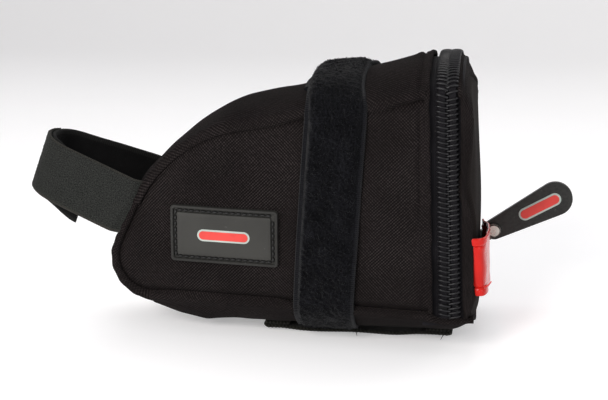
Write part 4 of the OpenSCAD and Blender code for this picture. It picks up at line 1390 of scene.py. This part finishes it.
strapRight = dress(rightStrap(strapLook), "bag", paint["strapPile"], "strap_pile", "main_strap_right")
strapLeft = dress(leftStrap(strapLook), None, paint["strapPile"], "strap_pile", "main_strap_left")
fuzzRight = strapFuzz("strapFuzzRight", strapSkins["mainStrapRight"], 201)
dress(fuzzRight, "bag", paint["strapPile"], "strap_pile")
fuzzLeft = strapFuzz("strapFuzzLeft", strapSkins["mainStrapLeft"], 203)
dress(fuzzLeft, None, paint["strapPile"], "strap_pile")
for piece in (strapLeft, fuzzLeft):
    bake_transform(piece)

# The webbing keeper under the bag

keeperLook = {
    "front": -29.5, "back": 48, "half": 12.5, "thick": 1.5, "lift": 0.45, "rise": 0.5,
    "flatHalf": 24, "flatRun": 11, "wave": (0.2, 5.1),
    "fold": 9, "foldGap": 1.8, "steps": 220, "foldSteps": 24, "cols": 46,
    "tooth": 0.6, "toothPitch": 1.5, "rib": 1.9, "ribDepth": 0.12,
}


def keeperHeight(x):
    look = keeperLook
    flat = ramp(x, -look["flatHalf"], look["flatRun"]) * (1 - ramp(x, look["flatHalf"], look["flatRun"]))
    return look["thick"] / 2 + look["lift"] + look["rise"] * (1 - flat) + wave(x, *look["wave"])


def keeperEnd(x, inwards):
    # an end folded back over the run, from the fold's tip to the run itself
    radius = keeperLook["foldGap"] / 2
    tip = np.linspace(x + inwards * keeperLook["fold"], x, keeperLook["foldSteps"])
    fold = np.stack([tip, np.full(len(tip), keeperHeight(x) + 2 * radius)], -1)
    turn = 90 + inwards * np.linspace(0, 180, 14)[1:-1]
    return np.concatenate([fold, np.array([x, keeperHeight(x) + radius]) + polar(radius, turn)])


def keeper(look):
    radius = look["foldGap"] / 2
    front, back = look["front"] + radius, look["back"] - radius
    x = np.linspace(front, back, look["steps"])
    path = np.concatenate([
        keeperEnd(front, 1), np.stack([x, keeperHeight(x)], -1), keeperEnd(back, -1)[::-1]])
    run = runLength(path, 0)[:, None]
    share = np.linspace(1, -1, look["cols"])[None]
    picks = 2 * np.pi * run / look["toothPitch"]
    y = share * look["half"] + np.sign(share) * np.abs(share) ** 12 * look["tooth"] * np.sin(picks)
    grid = np.stack(np.broadcast_arrays(path[:, :1], y, path[:, 1:]), -1)
    ribs = np.cos(2 * np.pi * y / look["rib"]) + np.cos(picks)
    tape = strip("strapKeeper", grid, look["thick"], lift=look["ribDepth"] * ribs)
    wide, long = 2 * look["half"], run[-1, 0]
    cutSizes["strapKeeper"] = (wide, long, wide * long)
    return tape


keeperTape = dress(keeper(keeperLook), "bag", paint["keeperWebbing"], "keeper_webbing", "strap_keeper")

strayLook = {
    "seed": 7, "reach": 1.7, "radius": 0.2, "height": 1.2, "way": (-2.6, -0.1),
    "at": ((8.5, 0.6), (45, -0.3)),
}


def strayThreads(look):
    # loose ends of yarn, each a short curl from its root on the keeper's edge
    rng = np.random.default_rng(look["seed"])
    reach = look["reach"]
    t = np.linspace(0, 1, 9)[:, None]
    parts = []
    for x, lean in look["at"]:
        root = np.array([x, -keeperLook["half"] + 0.3, look["height"]])
        curl = rng.uniform(-1, 1, 3) * [0.5, 0.3, 0.4]
        path = root + np.array([lean, *look["way"]]) * reach * t + curl * reach * 0.5 * t ** 2
        path = path + [0, 0, -0.25 * reach] * t ** 3
        parts.append(tubeParts(path, look["radius"] * (1 - 0.4 * t[:, 0]), 5))
    return yarns("keeperThreads", parts)


dress(strayThreads(strayLook), "bag", paint["darkThread"], "keeper_webbing")
print("straps built")

# The seat-post bands: each leaves a nose corner, runs straight and wraps the post

bandLook = {
    "reach": 32.5, "lean": 20, "height": 53, "width": 25, "thick": 1.6, "postRadius": 13.6, "gap": 0.3,
    "pass": 26, "tail": 13, "droop": 4.3, "droopLead": 8, "thinEnd": 9, "thin": 0.75, "hug": 0.8,
    "tuck": 2.6, "tuckRun": 5, "skew": 3.0, "skewRun": 22, "step": 0.6, "cols": 41, "steps": (30, 60, 16),
    "bow": 0.3, "lump": 0.25, "lumpSize": 22, "calmEnd": 14, "fuzz": 0.08, "fuzzSize": 1.3,
}
bandRoot = toe + noseDir * (bandLook["height"] - seamLow) / cosD(bag["noseLean"])
bandRootY = halfWidth(bandRoot[0]) + bandLook["gap"]


def bandAngle(radius):
    far = math.hypot(bandRootY, bandLook["reach"])
    return math.degrees(math.acos(radius / far) - math.atan2(bandLook["reach"], bandRootY))


def bandWorld(x, y, z):
    flat = -(x + bandLook["reach"])
    tilt = bandLook["lean"]
    return np.stack([
        bandRoot[0] + flat * cosD(tilt) + z * sinD(tilt), -y,
        bandRoot[1] - flat * sinD(tilt) + z * cosD(tilt)], -1)


def bandPath(radius, sweep, tail):
    angle = bandAngle(radius)
    run = (bandLook["reach"] + radius * sinD(angle)) / cosD(angle)
    middle = radius + bandLook["thick"] / 2
    lead, bend, end = bandLook["steps"]
    straight = np.stack([np.full(lead, middle), np.linspace(-run, 0, lead)], -1)
    wrap = polar(middle, np.linspace(0, sweep, bend)[1:])
    path = np.concatenate([straight, wrap])
    if tail:
        rest = np.outer(np.linspace(0, tail, end)[1:], [-sinD(sweep), cosD(sweep)])
        path = np.concatenate([path, path[-1] + rest])
    spin = angle - 90
    x, y = path[:, 0], path[:, 1]
    return np.stack([x * cosD(spin) - y * sinD(spin), x * sinD(spin) + y * cosD(spin)], -1)


def bandStrip(name, side, radius, sweep, seed, tail=0, hug=0):
    look = bandLook
    path = bandPath(radius, sweep, tail)
    z = np.linspace(-0.5, 0.5, look["cols"])[None] * look["width"] * -side
    run = runLength(path, 0)[:, None]
    lead = tail + look["droopLead"]
    sag = look["droop"] * smooth((run - run[-1] + lead) / lead) if tail else 0 * run
    path = path * [1, -side]
    grid = bandWorld(path[:, :1] + 0 * z, path[:, 1:] + 0 * z, z - sag)
    bow = look["bow"] * np.sin(run / run[-1] * np.pi * 2)
    bow = bow + look["lump"] * softNoise(grid, look["lumpSize"], seed)
    grid = resample(pushOut(grid, bow * smooth((run[-1] - run) / look["calmEnd"])), look["step"])
    # the root is cut along the nose seam and tucked into it, and the end thins down onto the other band
    done = runLength(grid, 0)
    skew = look["skew"] * smooth((0.1 - z / look["width"]) / 0.6) * (1 - smooth(done / look["skewRun"]))
    for col in range(grid.shape[1]):
        grid[:, col] = pointsAt(done[:, col] + skew[:, col], done[:, col], grid[:, col])
    done = runLength(grid, 0)
    grid[..., 1] -= np.sign(grid[..., 1]) * look["tuck"] * (1 - smooth(done / look["tuckRun"]))
    ending = 1 - smooth((done[-1:] - done) / look["thinEnd"])
    grid = pushOut(grid, -hug * ending)
    fuzz = look["fuzz"] * softNoise(grid, look["fuzzSize"], seed + 1, 14)
    return strip(name, grid, look["thick"] * (1 - look["thin"] * ending), lift=fuzz)


innerRadius = bandLook["postRadius"]
outerRadius = innerRadius + bandLook["thick"] + bandLook["gap"]
outerSweep = 90 - bandAngle(outerRadius) + bandLook["pass"]
innerSweep = 180 - bandAngle(innerRadius) - bandAngle(outerRadius)
leftBand = bandStrip("seatpostBandLeft", 1, outerRadius, outerSweep, 111, hug=bandLook["hug"])
dress(leftBand, None, paint["bandPile"], "band_pile", "seatpost_band_left")
rightBand = bandStrip("seatpostBandRight", -1, innerRadius, innerSweep, 121, tail=bandLook["tail"])
dress(rightBand, None, paint["bandHook"], "band_hook", "seatpost_band_right")
for piece, body, side in ((leftBand, "band_left", -1), (rightBand, "band_right", 1)):
    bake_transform(piece)
print("bands built")

# The badge and its plain mark

badgeLook = {
    "at": (-43.5, 45.5), "width": 45, "height": 23.5, "thick": 1.8, "corner": 1.4, "lift": 0.3,
    "rim": 1.15, "shadedRimRings": 5, "groove": 1.75, "depth": 1.25, "sink": 0.15,
    "barLength": 22, "barHeight": 5, "outline": 0.75, "barRise": (-0.3, 0.22, 0.42),
}
stitchLook = {
    "pitch": 2.5, "length": 2.2, "radius": 0.55, "out": (0.11, -1, 0),
    "rise": 0.9, "dive": 2.16, "thin": 0.35,
}


def roundRect(width, height, radius, count=24):
    turn = np.linspace(0, 90, count)
    corners = []
    for k, (sx, sz) in enumerate(((1, 1), (-1, 1), (-1, -1), (1, -1))):
        centre = np.array([sx * (width / 2 - radius), sz * (height / 2 - radius)])
        corners.append(centre + polar(radius, turn + 90 * k))
    closed = np.concatenate([*corners, corners[0][:1]])
    run = runLength(closed, 0)
    return pointsAt(np.linspace(0, run[-1], 8 * count, endpoint=False), run, closed)


def sideSurface(x, z):
    arcZ = browCentre[1] + np.sqrt(np.maximum(bag["browRadius"] ** 2 - (x - browCentre[0]) ** 2, 1))
    high = np.where(x > browStart[0], roof(x), arcZ)
    s = 2 * (z - seamLow) / (high - seamLow) - 1
    return halfWidth(x) + swell(x, z, s)


def onBadge(flat, out):
    x = badgeLook["at"][0] + flat[..., 0]
    z = badgeLook["at"][1] + flat[..., 1]
    return np.stack([x, -(sideSurface(x, z) + badgeLook["lift"] + out), z], -1)


def ringStack(name, rings, place):
    # nested outlines with heights, closed at the back and filled in the middle
    layers = [place(outline, height) for outline, height in rings]
    count = len(layers[0])
    ids = np.arange(count)
    after = np.roll(ids, -1)
    ring = np.stack([ids, after, after + count, ids + count], -1)
    faces = np.concatenate([ring + k * count for k in range(len(layers) - 1)]).tolist()
    faces += [(ids + (len(layers) - 1) * count).tolist(), ids[::-1].tolist()]
    uv = np.concatenate([outline for outline, _ in rings])
    return newObject(name, np.concatenate(layers), faces, uv, sharp=35)


def badgePiece(look):
    # each step is an inset from the edge and a height: the rim, the groove and the middle
    rim, top, low = look["rim"], look["thick"], look["thick"] - look["depth"]
    inner, middle = look["rim"] + look["groove"], look["thick"] - look["sink"]
    steps = [
        (0, -0.4), (0, top - 0.5), (0.15, top - 0.15), (0.5, top), (rim - 0.25, top), (rim, top - 0.25),
        (rim + 0.15, low), (inner - 0.2, low), (inner, top - 0.35)]
    steps += [(inner + inset, middle) for inset in (0.35, 1.5, 3.5, 5.5)]
    rings = []
    for inset, height in steps:
        corner = max(0.4, look["corner"] - 0.5 * inset)
        rings.append((roundRect(look["width"] - 2 * inset, look["height"] - 2 * inset, corner), height))
    plate = ringStack("badgePlate", rings, onBadge)
    dress(plate, "bag", paint["badgeRubber"], "badge_rubber", "badge")
    # the rim's rings get the darker copy of the rubber, as painted shade on the rim
    plate.data.materials.append(paint["shadedRimRubber"])
    for polygon in plate.data.polygons[:look["shadedRimRings"] * len(rings[0][0])]:
        polygon.material_index = 1


def badgeStitches(look):
    # one lying thread per pitch along the groove, its ends diving into the rubber
    inset = badgeLook["rim"] + badgeLook["groove"] / 2
    flat = roundRect(badgeLook["width"] - 2 * inset, badgeLook["height"] - 2 * inset, 1.0, 60)
    line = onBadge(flat, badgeLook["thick"] - badgeLook["depth"])
    run = runLength(line, 0)
    out = unit(np.array(look["out"], float))
    dive = np.abs(np.linspace(-1, 1, 6)) ** 3
    rise = look["radius"] * (look["rise"] - look["dive"] * dive)
    parts = []
    for start in np.arange(look["pitch"] / 2, run[-1] - look["length"], look["pitch"]):
        path = pointsAt(start + np.linspace(0, look["length"], 6), run, line) + out * rise[:, None]
        parts.append(tubeParts(path, look["radius"] * (1 - look["thin"] * dive), 6, up=out + 0.01))
    return yarns("badgeStitches", parts)


markLook = {"bevel": 0.12, "inset": 0.8}


def barMark(name, length, height, low, high, place):
    bevel = markLook["bevel"]
    rings = []
    for inset, out in ((0, low), (0, high - bevel), (bevel, high), (markLook["inset"], high)):
        tall = height - 2 * inset
        rings.append((roundRect(length - 2 * inset, tall, tall / 2 - 0.01), out))
    return ringStack(name, rings, place)


def plainMark(name, body, length, height, outline, heights, place, replaced):
    # a red bar inside a pale outline, both sunk a little into the face
    sink, paleRise, redRise = heights
    pale = barMark(name + "Outline", length, height, sink, paleRise, place)
    dress(pale, body, paint["markOutline"], "red_mark")
    red = barMark(name, length - 2 * outline, height - 2 * outline, sink, redRise, place)
    dress(red, body, paint["redMark"], "red_mark", replaced)


badgePiece(badgeLook)
dress(badgeStitches(stitchLook), "bag", paint["darkThread"], "badge_rubber")
face = badgeLook["thick"] - badgeLook["sink"]
plainMark("badgeMark", "bag", badgeLook["barLength"], badgeLook["barHeight"], badgeLook["outline"],
          [face + rise for rise in badgeLook["barRise"]], onBadge, "badge_mark")

# The pull tab's mark

tabLook = {
    "rivet": (64.247, 33.595), "angle": 29.5, "middle": 22.5, "face": 39.2,
    "length": 20, "height": 5.6, "outline": 0.8, "rise": (-0.3, 0.25, 0.45),
}


def onTab(flat, out):
    way = polar(1.0, tabLook["angle"])
    u, v = flat[..., 0] + tabLook["middle"], flat[..., 1]
    x = tabLook["rivet"][0] + u * way[0] - v * way[1]
    z = tabLook["rivet"][1] + u * way[1] + v * way[0]
    return np.stack([x, tabLook["face"] - out + 0 * u, z], -1)


plainMark("tabMark", "pull_tab", tabLook["length"], tabLook["height"], tabLook["outline"],
          tabLook["rise"], onTab, "tab_mark")

# CAD solids that stay in sight, each with a finish and a softened edge
solidLooks = {
    "pull_tab": ("tabRubber", 0.7), "tab_rivet": ("nickel", 0.35), "puller_link": ("darkLinkMetal", 0.3),
    "swivel_pin": ("nickel", 0.25), "slider_body": ("sliderEnamel", 0.35),
    "zip_end_stops": ("stopNylon", 0.3), "bottom_board": ("boardSheet", 0.3),
}
for name, (material, edge) in solidLooks.items():
    solid = nodes[name]
    solid.data.materials.clear()
    solid.data.materials.append(paint[material])
    bevel = solid.modifiers.new("softEdge", "BEVEL")
    bevel.width = edge * mm
    bevel.segments = 3
    bevel.limit_method = "ANGLE"
print("badge, pull and solids dressed")

# Camera, floor and light

cameraLook = {
    "azimuth": 8, "elevation": 14, "distance": 620, "target": (-15, 0, 54), "lens": 87.4, "sensor": 36,
}


def addCamera(look):
    az, el = look["azimuth"], look["elevation"]
    back = np.array([sinD(az) * cosD(el), -cosD(az) * cosD(el), sinD(el)])
    data = bpy.data.cameras.new("camera")
    data.lens = look["lens"]
    data.sensor_width = look["sensor"]
    data.clip_start = 0.01
    camera = bpy.data.objects.new("camera", data)
    camera.location = (np.array(look["target"]) + back * look["distance"]) * mm
    camera.rotation_euler = (math.radians(90 - el), 0, math.radians(az))
    bpy.context.scene.collection.objects.link(camera)
    bpy.context.scene.camera = camera


# in metres
stageLook = {
    "colour": (0.86, 0.855, 0.86), "shadedFarColour": (0.835, 0.83, 0.833), "near": -6, "far": 0.75, "wall": 3,
    "bend": 0.5, "half": 5, "glow": 0.3, "glowColour": (1, 0.995, 1), "glowEnd": 0.95,
}


def addStage(look):
    # floor running into a backdrop through one smooth bend, with a painted glow on the near floor and
    # painted shade on the far floor and the wall
    turn = np.linspace(0, np.pi / 2, 24)
    bend, end = look["bend"], look["far"] + look["bend"]
    y = np.concatenate([[look["near"]], look["far"] + bend * np.sin(turn), [end]])
    z = np.concatenate([[0], bend * (1 - np.cos(turn)), [look["wall"]]])
    x = np.array([-look["half"], look["half"]])
    grid = np.stack(np.broadcast_arrays(x[:, None], y[None], z[None]), -1) / mm
    rows, cols = grid.shape[:2]
    ids = np.arange(rows * cols).reshape(rows, cols)
    faces = np.stack([ids[:-1, :-1], ids[1:, :-1], ids[1:, 1:], ids[:-1, 1:]], -1).reshape(-1, 4)
    floor = newObject("floor", grid.reshape(-1, 3), faces.tolist())
    material, tree, shader = newMaterial(
        "paleFloor", look["colour"], 0.8, Specular_IOR_Level=0.1, Emission_Strength=look["glow"])
    split = tree.nodes.new("ShaderNodeSeparateXYZ")
    wire(tree, objectSpace(tree), split.inputs[0])
    # mask for the painted glow and painted shade: full near the bag, none at the wall
    near = remap(tree, split.outputs[1], look["glowEnd"], 0.0)
    wire(tree, blendColour(tree, near, (0, 0, 0), look["glowColour"]), shader.inputs["Emission Color"])
    wire(tree, blendColour(tree, near, look["shadedFarColour"], look["colour"]), shader.inputs["Base Color"])
    floor.data.materials.append(material)


lights = {
    "keyLight": dict(
        at=(-0.45, -1.15, 0.7), aim=(0, 0, 0.05), size=0.5, power=10.5, colour=(1.0, 0.97, 0.94)),
    "fillLight": dict(
        at=(0.9, -0.8, 0.4), aim=(0, 0, 0.05), size=0.7, power=4, colour=(0.96, 0.97, 1.0)),
    "backLight": dict(
        at=(0.95, 0.75, 0.6), aim=(0, 0, 0.05), size=0.6, power=2.5, colour=(1.0, 0.99, 0.97)),
    "stripLight": dict(
        at=(-0.75, -1.0, 0.14), aim=(0, 0, 0.06), size=0.26, power=3.5, colour=(1.0, 0.98, 0.96)),
    "topLight": dict(
        at=(0.0, 0.45, 1.2), aim=(0, 0.1, 0.0), size=0.9, power=3, colour=(1.0, 1.0, 1.0)),
}
skyLook = {"colour": (0.95, 0.95, 0.97, 1), "strength": 0.47}


def addLight(name, look):
    data = bpy.data.lights.new(name, "AREA")
    data.shape = "DISK"
    data.size = look["size"]
    data.energy = look["power"]
    data.color = look["colour"]
    lamp = bpy.data.objects.new(name, data)
    lamp.location = look["at"]
    lamp.visible_camera = False
    x, y, z = np.array(look["aim"]) - np.array(look["at"])
    lamp.rotation_euler = (math.atan2(math.hypot(x, y), -z), 0, math.atan2(y, x) - math.pi / 2)
    bpy.context.scene.collection.objects.link(lamp)


def addSky(look):
    world = bpy.data.worlds.new("studio")
    bpy.context.scene.world = world
    world.use_nodes = True
    background = world.node_tree.nodes["Background"]
    background.inputs[0].default_value = look["colour"]
    background.inputs[1].default_value = look["strength"]


addCamera(cameraLook)
addStage(stageLook)
for name, look in lights.items():
    addLight(name, look)
addSky(skyLook)
bpy.context.scene.view_settings.view_transform = "Standard"
print("camera, floor and light set")

for panel in (topPanel, nosePanel, bottomPanel):
    cutCloth(panel, "stretched", leftSide, rightSide)
for side, pad in ((leftSide, leftPad), (rightSide, rightPad)):
    cutCloth(side, "stretched", topPanel, pad)
cutCloth(rearPanel, "stretched", border)
cutCloth(border, "stretched", lidTape)
cutCloth(lining, "stretched", rearPanel)
cutCloth(loop, "folded", rearPanel)
cutCloth(strapLeft, "stretched", leftSide, topPanel)
cutCloth(strapRight, "stretched", rightSide, topPanel)
cutCloth(keeperTape, "folded", bottomPanel)
for band in (leftBand, rightBand):
    cutCloth(band, "folded", nosePanel)
